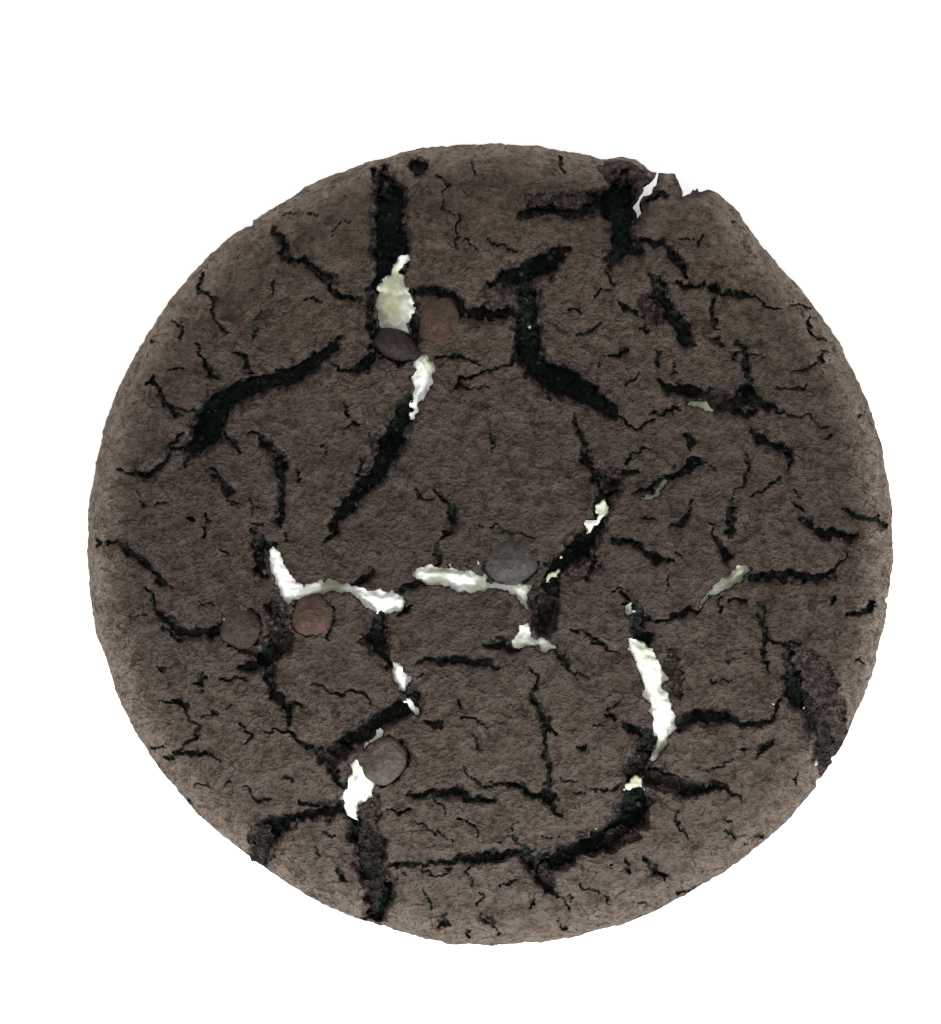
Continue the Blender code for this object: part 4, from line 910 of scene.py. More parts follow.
def signed_volume(item):
    """Six times the volume that the faces enclose, negative where they point in."""
    mesh = item.data
    mesh.calc_loop_triangles()
    corners = np.zeros(len(mesh.loop_triangles) * 3, np.int32)
    mesh.loop_triangles.foreach_get("vertices", corners)
    points = np.zeros(len(mesh.vertices) * 3)
    mesh.vertices.foreach_get("co", points)
    a, b, c = np.moveaxis(points.reshape(-1, 3)[corners.reshape(-1, 3)], 1, 0)
    return float(np.sum(a * np.cross(b, c)))


def face_outwards(item):
    """Turns the faces over where they point in."""
    if signed_volume(item) < 0:
        item.data.flip_normals()


def bake_modifiers(item):
    """Makes the mesh as its modifiers shape it the object's own mesh."""
    evaluated = item.evaluated_get(bpy.context.evaluated_depsgraph_get())
    finished = bpy.data.meshes.new_from_object(evaluated)
    item.modifiers.clear()
    plain = item.data
    item.data = finished
    bpy.data.meshes.remove(plain)


def thin_out(item, limit):
    """Merges triangles where the surface is flattest, down to the limit."""
    item.data.calc_loop_triangles()
    count = len(item.data.loop_triangles)
    if count > limit:
        decimate = item.modifiers.new("thin out", "DECIMATE")
        decimate.ratio = limit / count
        bake_modifiers(item)


def plan_of(item):
    """The piece's points as x, y and z in millimetres, measured like the cracks."""
    points = np.zeros(len(item.data.vertices) * 3, np.float32)
    item.data.vertices.foreach_get("co", points)
    points = points.reshape(-1, 3).astype(float) / MM
    return points[:, 0] + CENTRE[0], points[:, 1] + CENTRE[1], points[:, 2]


def add_attribute(item, name, values):
    """Stores a value for each point, for the material to read."""
    layer = item.data.attributes.new(name, "FLOAT", "POINT")
    layer.data.foreach_set("value", np.asarray(values, np.float32))


def finish_piece(item, slot, material, *nodes):
    """Smooth and facing outwards, riding on the body, in place of its nodes. The slot is not used."""
    face_outwards(item)
    item.data.shade_smooth()
    item.data.set_sharp_from_angle(angle=math.radians(SHARP_ANGLE))
    item.data.materials.clear()
    item.data.materials.append(material)
    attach(item, "root")
    if nodes:
        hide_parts(*nodes)


def crust_points(along, angle):
    """Turned profile, widened by the rim's swells, dented, cracked straight down and grained."""
    table, radius, height, normal_r, normal_z, widest = profile_table()
    total = table[-1]
    run = np.where(along <= 1, along * widest, widest + (along - 1) * (total - widest))
    r, z = np.interp(run, table, radius), np.interp(run, table, height)
    nr, nz = np.interp(run, table, normal_r), np.interp(run, table, normal_z)
    upper = along <= 1
    share = r / RADIUS
    plan_r = r * rim_factor(angle) - rim_dent(angle, share, ~upper)
    x, y = plan_r * np.cos(angle), plan_r * np.sin(angle)
    bent = np.stack([x, y, z], 1)
    loose = smoothstep(0.78, 0.95, share)
    x = x + loose * layered(bent, RIM_LUMPS_X)
    y = y + loose * layered(bent, RIM_LUMPS_Y)
    z = z + np.where(upper, swell(x, y), 0)
    down = np.where(upper, np.minimum(Relief(x, y).total, room_below(z)), 0)
    solid = np.stack([x, y, z], 1)
    raised = smoothstep(0.1, 1.5, z)
    out = (layered(solid, CRUST_PLATES) + layered(solid, CRUST_GRAIN)) * np.where(upper, 1, raised)
    pores = np.where(upper, 0, 0.35 * smoothstep(0.35, 0.8, noise(solid, 2.0, 25)) * (1 - raised))
    x = x + nr * out * np.cos(angle)
    y = y + nr * out * np.sin(angle)
    z = np.maximum(z + nz * out - down + pores, 0)
    return np.stack([x, y, z], 1)


def finer_outline(outline, step):
    """An outline with points added along its sides, a step apart."""
    corners = np.array(outline)
    sides = []
    for start, end in zip(corners, np.roll(corners, -1, axis=0)):
        count = max(1, round(math.dist(start, end) / step))
        sides.append(start + (end - start) * np.linspace(0, 1, count, endpoint=False)[:, None])
    return np.concatenate(sides)


def gap_cutter(outline):
    """Upright prism on an outline, from below the base to above the dome, with roughened walls."""
    plan = finer_outline(outline, 0.25)
    heights = np.linspace(-1, WIDEST_HEIGHT + DOME_RISE + 2, 60)
    columns, rows = len(plan), len(heights)
    points = np.column_stack([np.tile(plan, (rows, 1)), np.repeat(heights, columns)])
    points[:, 0] += layered(points, GAP_LUMPS_X)
    points[:, 1] += layered(points, GAP_LUMPS_Y)
    index = np.arange(rows * columns).reshape(rows, columns)
    walls = grid_faces(np.concatenate([index, index[:, :1]], 1)).tolist()
    ends = [index[0].tolist(), index[-1, ::-1].tolist()]
    mesh = bpy.data.meshes.new("rim gap")
    mesh.from_pydata(placed(points).tolist(), [], walls + ends)
    item = bpy.data.objects.new("rim gap", mesh)
    bpy.context.scene.collection.objects.link(item)
    face_outwards(item)
    return item


def cut_gaps(item):
    """Cuts the two gaps through the rim."""
    for outline in RIM_GAPS:
        cutter = gap_cutter(outline)
        cut = item.modifiers.new("rim gap", "BOOLEAN")
        cut.operation = "DIFFERENCE"
        cut.solver = "MANIFOLD"
        cut.object = cutter
        bake_modifiers(item)
        bpy.data.objects.remove(cutter, do_unlink=True)


def gap_closeness(x, y):
    """1 on the walls of the gaps in the rim, fading to 0 within 0.7 mm."""
    closest = np.full(len(x), 9.0)
    for outline in RIM_GAPS:
        path = [(px, py, 0.0) for px, py in outline]
        near, edge, _ = edge_distance(x, y, path, 1.0)
        closest[near] = np.minimum(closest[near], edge)
    return 1 - smoothstep(0.2, 0.7, closest)


def make_crust(settings):
    """The cracked crust, with the values that its material reads at each point."""
    along, angle, quads, fan = closed_disc(settings.grid_lines, CRUST_RINGS)
    item = mesh_object("crust", crust_points(along, angle), quads, fan)
    thin_out(item, settings.triangle_limit)
    cut_gaps(item)
    x, y, z = plan_of(item)
    relief = Relief(x, y)
    above = z > WIDEST_HEIGHT + 0.3
    add_attribute(item, "torn", np.maximum(np.where(above, relief.torn, 0), gap_closeness(x, y)))
    add_attribute(item, "edge", np.where(above, relief.edge, relief.LIP_REACH))
    add_attribute(item, "broad", np.where(above, relief.broad, 0))
    # How deep each point lies below the plain crust, for the painted shade in the cracks
    add_attribute(item, "depth", np.where(above, np.clip((plain_height(x, y) - z) / 3, 0, 1), 0))
    # Where the rim lies, for its painted light
    add_attribute(item, "rim", smoothstep(0.89, 1.0, share_out(x, y)))
    finish_piece(item, "crust", crust_material(settings), "cookie")


def cream_shade(x, y):
    """1 in the filling's places painted duller as shade, 0 away from them."""
    return np.max([np.exp(-(np.hypot(x - cx, y - cy) / reach) ** 4) for cx, cy, reach in SHADED_CREAM], axis=0)


def deep_bead(x, y):
    """1 at the deep, creamy bead in the north crack, 0 away from it."""
    centre_x, centre_y, half_x, half_y = DEEP_BEAD
    return np.exp(-(((x - centre_x) / half_x) ** 2 + ((y - centre_y) / half_y) ** 2) ** 2)


def filling_points(along, angle):
    """A flat puck whose top rises in a rounded, bumpy ridge under each opening."""
    upper = along <= 1
    lower = np.clip(along - 1, 0, 1)
    inward = np.maximum(lower - PUCK_SIDE_SHARE, 0) / (1 - PUCK_SIDE_SHARE)
    r = PUCK_RADIUS * np.where(upper, along, 1 - inward)
    rounded = np.sqrt(np.maximum(0, 1 - np.clip((r - PUCK_RADIUS + PUCK_EDGE) / PUCK_EDGE, 0, 1) ** 2))
    shoulder = PUCK_ROOF - PUCK_EDGE
    side = shoulder - smoothstep(0, PUCK_SIDE_SHARE, lower) * (shoulder - PUCK_FLOOR)
    z = np.where(upper, PUCK_ROOF - PUCK_EDGE * (1 - rounded), side)
    x, y = r * np.cos(angle), r * np.sin(angle)
    relief = Relief(x, y)
    bumps = layered(np.stack([x, y], 1), FILLING_BUMPS)
    bulge = FILLING_BULGE * smoothstep(-0.1, 1.3, -relief.window)
    top = plain_height(x, y) - FILLING_SUNK + bulge + bumps - 0.4 * deep_bead(x, y)
    rise = 1 - smoothstep(0.12, 0.42, relief.window)
    z = np.where(upper & (rise > 0), z + (np.maximum(top, z) - z) * rise, z)
    return np.stack([x, y, z], 1)


def make_filling(settings):
    """The white filling, on a coarser grid than the crust's and with a third of its triangles."""
    along, angle, quads, fan = closed_disc(settings.grid_lines * 3 // 4, FILLING_RINGS)
    item = mesh_object("cream", filling_points(along, angle), quads, fan)
    thin_out(item, settings.triangle_limit // 3)
    x, y, _ = plan_of(item)
    # Where the filling is painted duller as shade
    add_attribute(item, "creamy", cream_shade(x, y))
    finish_piece(item, "filling", filling_material(), "filling")


def ball(columns, rows):
    """Ball of radius 1: its points, its quads, and the triangles round its poles."""
    turn = np.linspace(0, 2 * math.pi, columns, endpoint=False)
    rise = np.linspace(math.pi / 2, -math.pi / 2, rows + 2)[1:-1][:, None]
    rings = np.broadcast_arrays(np.cos(rise) * np.cos(turn), np.cos(rise) * np.sin(turn), np.sin(rise))
    ring = np.stack(rings, -1).reshape(-1, 3)
    points = np.concatenate([ring, [[0, 0, 1], [0, 0, -1]]])
    index = np.arange(columns * rows).reshape(rows, columns)
    closed = np.concatenate([index, index[:, :1]], 1)
    quads = grid_faces(closed)
    top, bottom = len(ring), len(ring) + 1
    cap = np.stack([closed[0, :-1], closed[0, 1:], np.full(columns, top)], 1)
    base = np.stack([closed[-1, 1:], closed[-1, :-1], np.full(columns, bottom)], 1)
    return points, quads, np.concatenate([cap, base])


def make_chip(chip, seed):
    """A squashed ball with an uneven outline and dents, turned in its socket."""
    points, quads, fan = ball(CHIP_COLUMNS, CHIP_ROWS)
    reach = chip_outline(np.arctan2(points[:, 1], points[:, 0]), seed)
    dents = 1 + 0.09 * noise(points, 0.7, 80 + seed) + 0.04 * noise(points, 0.25, 90 + seed)
    upright = np.full(len(points), chip.half * CHIP_HEIGHT_SHARE)
    shaped = points * np.stack([chip.half * reach, chip.half * chip.narrow * reach, upright], 1)
    shaped[:, 2] *= dents
    cos, sin = math.cos(math.radians(chip.turn)), math.sin(math.radians(chip.turn))
    turned = shaped @ np.array([[cos, sin, 0], [-sin, cos, 0], [0, 0, 1]])
    crust = plain_height(np.array([chip.x]), np.array([chip.y]))[0]
    here = np.array([chip.x, chip.y, crust + chip.rise])
    item = mesh_object(chip.node + "_bead", turned + here, quads, fan)
    finish_piece(item, "chocolate", chip_material(chip), chip.node)


def scatter(shapes, seed):
    """Small balls in one mesh: one for each row of (x, y, z, size), with its own lumps, stretch and turn."""
    points, quads, fan = ball(7, 4)
    draw = np.random.default_rng(seed)
    count = len(shapes)
    stretch = draw.uniform(0.55, 1.35, (count, 1, 3))
    lumps = 1 + draw.uniform(-0.38, 0.38, (count, len(points), 1))
    turn = draw.uniform(0, 2 * math.pi, count)
    local = points[None] * lumps * stretch * shapes[:, None, 3:4] / 2
    cos, sin = np.cos(turn)[:, None], np.sin(turn)[:, None]
    x, y, z = np.moveaxis(local, -1, 0)
    turned = np.stack([x * cos - y * sin, x * sin + y * cos, z], -1)
    everything = (turned + shapes[:, None, :3]).reshape(-1, 3)
    shift = (np.arange(count) * len(points))[:, None, None]
    return everything, (quads[None] + shift).reshape(-1, 4), (fan[None] + shift).reshape(-1, 3)


def crumb_places(settings):
    """Where crumbs lie along the cracks and in the torn places, seen from above, and their sizes."""
    draw = np.random.default_rng(PLACES_SEED)
    spots = []
    for path in itertools.chain.from_iterable(CRACKS.values()):
        path = np.array(path, float)
        for start, end in zip(path, path[1:]):
            width = max(start[2], end[2])
            step = (end - start)[:2]
            count = int(np.hypot(*step) * width * settings.crumbs_per_area)
            if width > 0.7 and count:
                middle = start[:2] + step * draw.uniform(0, 1, count)[:, None]
                spots.append(middle + draw.normal(0, 0.3 * width, (count, 2)))
    for cx, cy, half_x, half_y, *_ in TORN:
        count = int(half_x * half_y * settings.crumbs_per_area * 3)
        spots.append(np.array([cx, cy]) + draw.normal(0, 0.45, (count, 2)) * [half_x, half_y])
    spots = np.concatenate(spots)
    return spots, 0.18 + 0.42 * draw.power(0.4, len(spots))


def make_crumbs(settings):
    """Loose crumbs on the rough floors of the cracks and torn places, away from the filling and the chips."""
    spots, size = crumb_places(settings)
    relief = Relief(spots[:, 0], spots[:, 1])
    share = np.hypot(spots[:, 0], spots[:, 1]) / RADIUS
    kept = (relief.window > 0.25) & (relief.socket < 0.1) & (share < 0.965) & (relief.rough > 0.3)
    spots, size, total = spots[kept], size[kept], relief.total[kept]
    base = plain_height(spots[:, 0], spots[:, 1])
    z = base - np.minimum(total, room_below(base)) + 0.2 * size
    points, quads, fan = scatter(np.column_stack([spots, z, size]), CRUMBS_SEED)
    item = mesh_object("crumbs", points, quads, fan)
    finish_piece(item, "crust", crumb_material())


def make_flecks():
    """Small blobs of filling on the crust, sunk in by about a quarter of their width."""
    x, y, width = np.array(FLECKS, float).T
    z = plain_height(x, y) - np.minimum(Relief(x, y).total, 1.2) + 0.25 * width
    points, quads, fan = scatter(np.column_stack([x, y, z, width]), FLECKS_SEED)
    item = mesh_object("cream_flecks", points, quads, fan)
    add_attribute(item, "creamy", np.ones(len(points)))
    finish_piece(item, "filling", filling_material())


def add_node(tree, kind, settings=None, links=None):
    """Adds a shader node. Settings are its properties or inputs' values, links its inputs' sources."""
    node = tree.nodes.new(kind)
    for key, value in (settings or {}).items():
        if isinstance(key, str) and hasattr(node, key):
            setattr(node, key, value)
        else:
            node.inputs[key].default_value = value
    for key, source in (links or {}).items():
        tree.links.new(source, node.inputs[key])
    return node


def new_material(name):
    """A node material with its tree, its Principled shader, and places on the object in millimetres."""
    material = bpy.data.materials.new(name)
    material.use_nodes = True
    tree = material.node_tree
    shader = tree.nodes["Principled BSDF"]
    coordinates = add_node(tree, "ShaderNodeTexCoord")
    place = {"Vector": coordinates.outputs["Object"]}
    mapping = add_node(tree, "ShaderNodeMapping", {"Scale": (1 / MM, 1 / MM, 1 / MM)}, place)
    return material, tree, shader, mapping.outputs["Vector"]


def dress(tree, shader, colour, roughness, specular):
    """Gives the shader its colour, how matt it is and how much it reflects."""
    tree.links.new(colour, shader.inputs["Base Color"])
    shader.inputs["Roughness"].default_value = roughness
    shader.inputs["Specular IOR Level"].default_value = specular


def add_bump(tree, shader, height, strength, unit):
    """Relief finer than the mesh, from heights in a unit of length."""
    bump = add_node(tree, "ShaderNodeBump", {"Strength": strength, "Distance": unit * MM}, {"Height": height})
    tree.links.new(bump.outputs["Normal"], shader.inputs["Normal"])


def ramp_through(tree, factor, stops):
    """Colour ramp through (position, linear colour) stops."""
    ramp = add_node(tree, "ShaderNodeValToRGB", links={"Fac": factor})
    elements = ramp.color_ramp.elements
    while len(elements) < len(stops):
        elements.new(0.5)
    for element, (position, colour) in zip(elements, stops):
        element.position = position
        element.color = (*colour, 1)
    return ramp.outputs["Color"]


def colour_steps(tree, factor, stops):
    """Colour ramp through (position, hex colour) stops."""
    return ramp_through(tree, factor, [(position, linear(code)) for position, code in stops])


def mixed(tree, factor, first, second, blend="MIX"):
    """Colour between the first and the second, or blended with the second, by a factor from 0 to 1."""
    node = add_node(tree, "ShaderNodeMix", {"data_type": "RGBA", "blend_type": blend})
    for key, value in ((0, factor), (6, first), (7, second)):
        if isinstance(value, bpy.types.NodeSocket):
            tree.links.new(value, node.inputs[key])
        else:
            node.inputs[key].default_value = value
    return node.outputs[2]


def ranged(tree, value, low, high, to_low, to_high):
    """The range from low to high stretched to another range, and held at its ends."""
    limits = {"From Min": low, "From Max": high, "To Min": to_low, "To Max": to_high}
    return add_node(tree, "ShaderNodeMapRange", limits, {"Value": value}).outputs["Result"]


def sum_of(tree, *terms):
    """Adds (factor, socket) terms up with multiply-add nodes; a number in place of a socket is a constant."""
    total = 0.0
    for factor, socket in terms:
        if isinstance(socket, float):
            node = add_node(tree, "ShaderNodeMath", {"operation": "MULTIPLY_ADD", 0: socket, 1: factor})
        else:
            node = add_node(tree, "ShaderNodeMath", {"operation": "MULTIPLY_ADD", 1: factor}, {0: socket})
        if isinstance(total, float):
            node.inputs[2].default_value = total
        else:
            tree.links.new(total, node.inputs[2])
        total = node.outputs["Value"]
    return total


def product(tree, first, second):
    """One socket's value times another's."""
    return add_node(tree, "ShaderNodeMath", {"operation": "MULTIPLY"}, {0: first, 1: second}).outputs["Value"]


def pattern(tree, place, size, detail, roughness=0.55, distortion=0.0):
    """Noise texture with features of a size in millimetres."""
    form = {"Scale": 1 / size, "Detail": detail, "Roughness": roughness, "Distortion": distortion}
    return add_node(tree, "ShaderNodeTexNoise", form, {"Vector": place}).outputs["Fac"]


def grain_of(tree, place):
    """Dry crust's grain: lumps of 2 mm and grains of 0.6 mm, as one pattern and as a height in mm."""
    lumps = pattern(tree, place, 2.0, 3, 0.75, 0.3)
    grain = pattern(tree, place, 0.6, 2, 0.8, 0.3)
    together = sum_of(tree, (0.42, lumps), (0.28, grain), (0.15, 1.0))
    return together, sum_of(tree, (1.35, lumps), (0.42, grain))


def grain_colour_and_shade(tree, grain, code):
    """Colour of a grained surface: a hex colour at the grain's middle with its own specks, redder and darker
    in hollows as painted shade, greyer and paler on tops as painted light.
    """
    middle = np.array(linear(code))
    return ramp_through(tree, grain, [(position, middle * factors) for position, factors in GRAIN_SPECKS_AND_SHADE])


def hairlines(tree, place, size, fullness):
    """1 on thin bent lines, longer across than up, where a noise of a size in mm crosses its middle."""
    flat = add_node(tree, "ShaderNodeMapping", {"Scale": (0.55, 1, 1)}, {"Vector": place}).outputs["Vector"]
    course = pattern(tree, flat, size, 2, 0.6, 0.8)
    away = add_node(tree, "ShaderNodeMath", {"operation": "SUBTRACT", 1: 0.5}, {0: course}).outputs["Value"]
    away = add_node(tree, "ShaderNodeMath", {"operation": "ABSOLUTE"}, {0: away}).outputs["Value"]
    return product(tree, ranged(tree, away, 0.005, 0.017, 1.0, 0.0), fullness)


def crust_material(settings):
    """Oven-baked cocoa dough: matt, dried and grainy, with hairline cracks and dark crumb; painted shade in
    its grain, hairlines and cracks, and painted light in front, behind and at the rim.
    """
    material, tree, shader, place = new_material("baked cocoa dough")
    torn, edge, broad, depth, rim = (
        add_node(tree, "ShaderNodeAttribute", {"attribute_name": name}).outputs["Fac"]
        for name in ("torn", "edge", "broad", "depth", "rim")
    )
    grain, height = grain_of(tree, place)
    # The crust's colour, with painted shade in its grain's hollows and painted light on its tops
    colour = grain_colour_and_shade(tree, grain, settings.crust_code)
    # Painted light: the crust is made paler in front, behind and at the rim
    y = add_node(tree, "ShaderNodeSeparateXYZ", links={"Vector": place}).outputs["Y"]
    patches = pattern(tree, place, 9.0, 3)
    front = ranged(tree, sum_of(tree, (1.0, y), (20.0, patches)), 4.0, -28.0, 0.0, 1.0)
    colour = mixed(tree, front, colour, FRONT_PAINTED_LIGHT, "MULTIPLY")
    back = ranged(tree, y, 12.0, 32.0, 0.0, 1.0)
    colour = mixed(tree, back, colour, BACK_PAINTED_LIGHT, "MULTIPLY")
    # Painted light on the rim, where its slopes catch light from the sides and the sheet; less of it in
    # front, where the key light already falls
    lit_rim_colour = grain_colour_and_shade(tree, grain, settings.lit_rim_code)
    colour = mixed(tree, product(tree, rim, ranged(tree, front, 0.0, 1.0, 1.0, 0.45)), colour, lit_rim_colour)
    # Hairline cracks in patches of 4 mm, and more of them beside cracks, drawn as dark lines of painted shade
    patchy = sum_of(tree, (1.0, pattern(tree, place, 4.0, 1)), (0.10, broad))
    hairline = hairlines(tree, place, 2.4, ranged(tree, patchy, 0.41, 0.51, 0.0, 1.0))
    colour = mixed(tree, ranged(tree, hairline, 0, 1, 0, 0.75), colour, (*linear("1F1513"), 1))
    # Beside and in cracks the skin gives way to crumb, brown on its grains, and black in its hollows as
    # painted shade
    clods = pattern(tree, place, 0.9, 3, 0.75)
    ragged = sum_of(tree, (1.0, edge), (1.6, clods), (0.8, grain))
    straying = sum_of(tree, (1.0, ragged), (3.0, patches))
    flank = product(tree, ranged(tree, straying, 2.7, 3.6, 1.0, 0.0), broad)
    flank = ranged(tree, flank, 0.25, 0.5, 0.0, 1.0)
    crumbly = add_node(tree, "ShaderNodeMath", {"operation": "MAXIMUM"}, {0: flank, 1: torn}).outputs["Value"]
    crumb = colour_steps(tree, clods, ((0.36, "1A1312"), (0.50, settings.crumb_code), (0.62, "4E4440")))
    colour = mixed(tree, ranged(tree, crumbly, 0, 1, 0, 0.9), colour, crumb)
    skinned = ranged(tree, torn, 0.0, 1.0, 1.0, 0.35)
    # Painted shade inside the cracks' edges: the dark crack colour on the crumb, less of it in torn places
    inside = product(tree, ranged(tree, ragged, 1.10, 1.20, 1.0, 0.0), ranged(tree, torn, 0.0, 1.0, 1.0, 0.6))
    hollow = colour_steps(tree, clods, ((0.42, settings.crack_shade_code), (0.60, "352E2B")))
    colour = mixed(tree, ranged(tree, inside, 0, 1, 0, 0.92), colour, hollow)
    # Painted shade: the deeper a point lies below the plain crust, the nearer it goes to the near-black crack
    # colour
    deep = product(tree, ranged(tree, depth, 0.6, 1.0, 0, 0.7), skinned)
    colour = mixed(tree, deep, colour, (*linear(settings.crack_shade_code), 1))
    dress(tree, shader, colour, roughness=0.8, specular=0.06)
    height = sum_of(tree, (1.0, height), (1.6, product(tree, clods, torn)))
    add_bump(tree, shader, height, strength=1.0, unit=1.0)
    return material


def crumb_material():
    """Loose crumbs of the soft inside: darker than the crust and without its skin."""
    material, tree, shader, place = new_material("soft cocoa crumb")
    specks = pattern(tree, place, 0.8, 3, 0.5)
    colour = colour_steps(tree, specks, ((0.4, "1A1614"), (0.6, "3A302B")))
    dress(tree, shader, colour, roughness=0.85, specular=0.3)
    return material


def filling_material():
    """Set white marshmallow cream: soft, slightly see-through, with a satin skin."""
    material, tree, shader, place = new_material("white marshmallow cream")
    clouds = pattern(tree, place, 2.5, 3, 0.5)
    # Greyer, greener patches of the white, placed by noise, are painted shade on the filling
    white = colour_steps(tree, clouds, ((0.36, "C2C7B2"), (0.48, "E2E5D9"), (0.58, "F3F4EE")))
    # Duller, yellower cream: painted shade where the filling lies deep, and the flecks' colour
    cream = colour_steps(tree, clouds, ((0.35, "93947B"), (0.65, "B2B49B")))
    creamy = add_node(tree, "ShaderNodeAttribute", {"attribute_name": "creamy"}).outputs["Fac"]
    dress(tree, shader, mixed(tree, creamy, white, cream), roughness=0.48, specular=0.4)
    shader.inputs["Subsurface Weight"].default_value = 0.25
    shader.inputs["Subsurface Radius"].default_value = (1.0, 0.9, 0.75)
    shader.inputs["Subsurface Scale"].default_value = 0.8 * MM
    add_bump(tree, shader, pattern(tree, place, 0.5, 3, 0.5), strength=0.6, unit=0.1)
    return material


def chip_material(chip):
    """Dark chocolate, remelted in the oven and coated with cocoa dust from the dough: dull and grained."""
    material, tree, shader, place = new_material("remelted dark chocolate " + chip.node.replace("chip_", ""))
    grain, height = grain_of(tree, place)
    # Painted shade in the grain's hollows and painted light on its tops, as on the crust
    colour = grain_colour_and_shade(tree, sum_of(tree, (0.8, grain), (0.1, 1.0)), chip.code)
    dress(tree, shader, colour, roughness=0.6, specular=0.12)
    add_bump(tree, shader, height, strength=0.5, unit=1.0)
    return material


class CookieSettings(bpy.types.PropertyGroup):
    """Sizes and colours of the cookie that a user may change."""

    grid_lines: bpy.props.IntProperty(
        name="Grid lines", description="Lines each way in the crust's grid", default=520, min=50)
    triangle_limit: bpy.props.IntProperty(
        name="Triangles", description="Most triangles kept in the crust", default=190000, min=1000)
    crumbs_per_area: bpy.props.FloatProperty(
        name="Crumbs", description="Loose crumbs for each square millimetre of crack", default=0.9, min=0)
    crust_code: bpy.props.StringProperty(name="Crust", description="Crust colour, sRGB hex", default="39322C")
    # The rim's colour is painted light: the rim made paler where its slopes catch the light
    lit_rim_code: bpy.props.StringProperty(name="Rim", description="Dry rim's colour, sRGB hex", default="655A51")
    crumb_code: bpy.props.StringProperty(name="Crumb", description="Torn crumb, sRGB hex", default="352D2B")
    # Near-black colour painted as shade deep in the cracks
    crack_shade_code: bpy.props.StringProperty(
        name="Deep crumb", description="Moist crumb deep in cracks, sRGB hex", default="0B1B16")
    world_light: bpy.props.FloatProperty(
        name="Room light", description="Strength of the soft light from all round", default=1.1, min=0)
    key_light: bpy.props.FloatProperty(
        name="Key light", description="Power of the soft light in front", default=17.0, min=0, unit="POWER")


class COOKIE_OT_crust(bpy.types.Operator):
    """Make the cracked crust in place of the plain one"""

    bl_idname = "cookie.crust"
    bl_label = "Crust"

    def execute(self, context):
        make_crust(context.scene.cookie_settings)
        return {"FINISHED"}


class COOKIE_OT_filling(bpy.types.Operator):
    """Make the white filling and its small blobs"""

    bl_idname = "cookie.filling"
    bl_label = "Filling"

    def execute(self, context):
        make_filling(context.scene.cookie_settings)
        make_flecks()
        return {"FINISHED"}


class COOKIE_OT_chips(bpy.types.Operator):
    """Make the chocolate chips"""

    bl_idname = "cookie.chips"
    bl_label = "Chips"

    def execute(self, context):
        for number, chip in enumerate(CHIPS):
            make_chip(chip, number)
        return {"FINISHED"}


class COOKIE_OT_crumbs(bpy.types.Operator):
    """Scatter loose crumbs in the cracks"""

    bl_idname = "cookie.crumbs"
    bl_label = "Crumbs"

    def execute(self, context):
        make_crumbs(context.scene.cookie_settings)
        return {"FINISHED"}


class COOKIE_OT_stage(bpy.types.Operator):
    """Set the floor, the soft light and the camera"""

    bl_idname = "cookie.stage"
    bl_label = "Stage"

    def execute(self, context):
        settings = context.scene.cookie_settings
        make_floor()
        make_light(settings)
        make_camera(context.scene)
        return {"FINISHED"}


def make_floor():
    """Plain white sheet under the cookie, faintly lit from below."""
    around = ((-1, -1), (1, -1), (1, 1), (-1, 1))
    half = SHEET_HALF_SIDE
    corners = np.array([[across * half, up * half, SHEET_HEIGHT] for across, up in around])
    item = mesh_object("floor", corners, np.array([[0, 1, 2, 3]]))
    material, _, shader, _ = new_material("opal sheet of a light table")
    shader.inputs["Base Color"].default_value = (*linear("F6F6F5"), 1)
    shader.inputs["Roughness"].default_value = 0.9
    shader.inputs["Specular IOR Level"].default_value = 0.1
    shader.inputs["Emission Color"].default_value = (1, 1, 1, 1)
    shader.inputs["Emission Strength"].default_value = SHEET_GLOW
    item.data.materials.append(material)


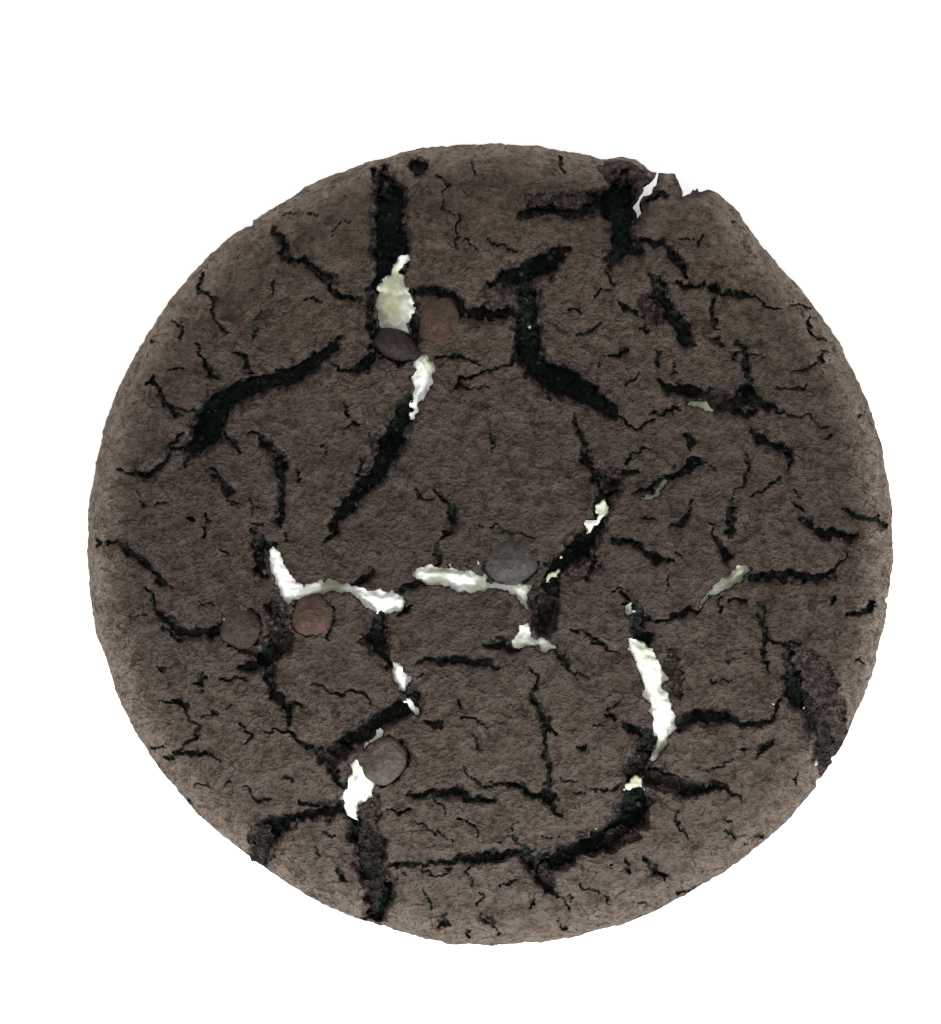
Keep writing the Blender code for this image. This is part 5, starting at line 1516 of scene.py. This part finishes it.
def make_light(settings):
    """Soft room, twice as bright at the horizon as overhead, and a broad key light in front."""
    world = bpy.data.worlds.new("soft studio")
    bpy.context.scene.world = world
    world.use_nodes = True
    tree = world.node_tree
    direction = add_node(tree, "ShaderNodeTexCoord")
    parts = add_node(tree, "ShaderNodeSeparateXYZ", links={"Vector": direction.outputs["Generated"]})
    up = ranged(tree, parts.outputs["Z"], 0.0, 1.0, 1.5, 0.75)
    strength = add_node(tree, "ShaderNodeMath", {"operation": "MULTIPLY", 1: settings.world_light}, {0: up})
    background = tree.nodes["Background"]
    background.inputs["Color"].default_value = (1.0, 0.995, 0.985, 1)
    tree.links.new(strength.outputs["Value"], background.inputs["Strength"])
    lamp = bpy.data.lights.new("key", "AREA")
    lamp.energy = settings.key_light
    lamp.shape = "DISK"
    lamp.size = LAMP_WIDTH * MM
    item = bpy.data.objects.new("key", lamp)
    item.location = [length * MM for length in LAMP_PLACE]
    item.rotation_euler = [math.radians(turn) for turn in LAMP_TURN]
    bpy.context.scene.collection.objects.link(item)


def make_camera(scene):
    """Looks straight down, with a lens that spans the picture's height at the widest ring."""
    lens = bpy.data.cameras.new("camera")
    lens.sensor_width = SENSOR_WIDTH
    lens.lens = SENSOR_WIDTH * (CAMERA_HEIGHT - WIDEST_HEIGHT) / FRAME_HEIGHT
    lens.clip_start = 10 * MM
    item = bpy.data.objects.new("camera", lens)
    item.location = placed(np.array([*FRAME_MIDDLE, CAMERA_HEIGHT]))
    scene.collection.objects.link(item)
    scene.camera = item
    scene.view_settings.view_transform = "Standard"


class COOKIE_PT_panel(bpy.types.Panel):
    """Lists the cookie's pieces, its sizes and its colours"""

    bl_label = "Chocolate cookie"
    bl_idname = "COOKIE_PT_panel"
    bl_space_type = "VIEW_3D"
    bl_region_type = "UI"
    bl_category = "Cookie"

    def draw(self, context):
        for operator in OPERATORS:
            self.layout.operator(operator.bl_idname)
        for name in CookieSettings.__annotations__:
            self.layout.prop(context.scene.cookie_settings, name)


OPERATORS = (COOKIE_OT_crust, COOKIE_OT_filling, COOKIE_OT_chips, COOKIE_OT_crumbs, COOKIE_OT_stage)


def register():
    """Adds the settings, the operators and the panel to Blender."""
    for item in (CookieSettings, *OPERATORS, COOKIE_PT_panel):
        bpy.utils.register_class(item)
    bpy.types.Scene.cookie_settings = bpy.props.PointerProperty(type=CookieSettings)


def unregister():
    """Takes them out again."""
    del bpy.types.Scene.cookie_settings
    for item in (COOKIE_PT_panel, *reversed(OPERATORS), CookieSettings):
        bpy.utils.unregister_class(item)


def main():
    """Makes every piece and the stage."""
    register()
    bpy.ops.cookie.crust()
    bpy.ops.cookie.filling()
    bpy.ops.cookie.chips()
    bpy.ops.cookie.crumbs()
    bpy.ops.cookie.stage()


if __name__ == "__main__":
    main()
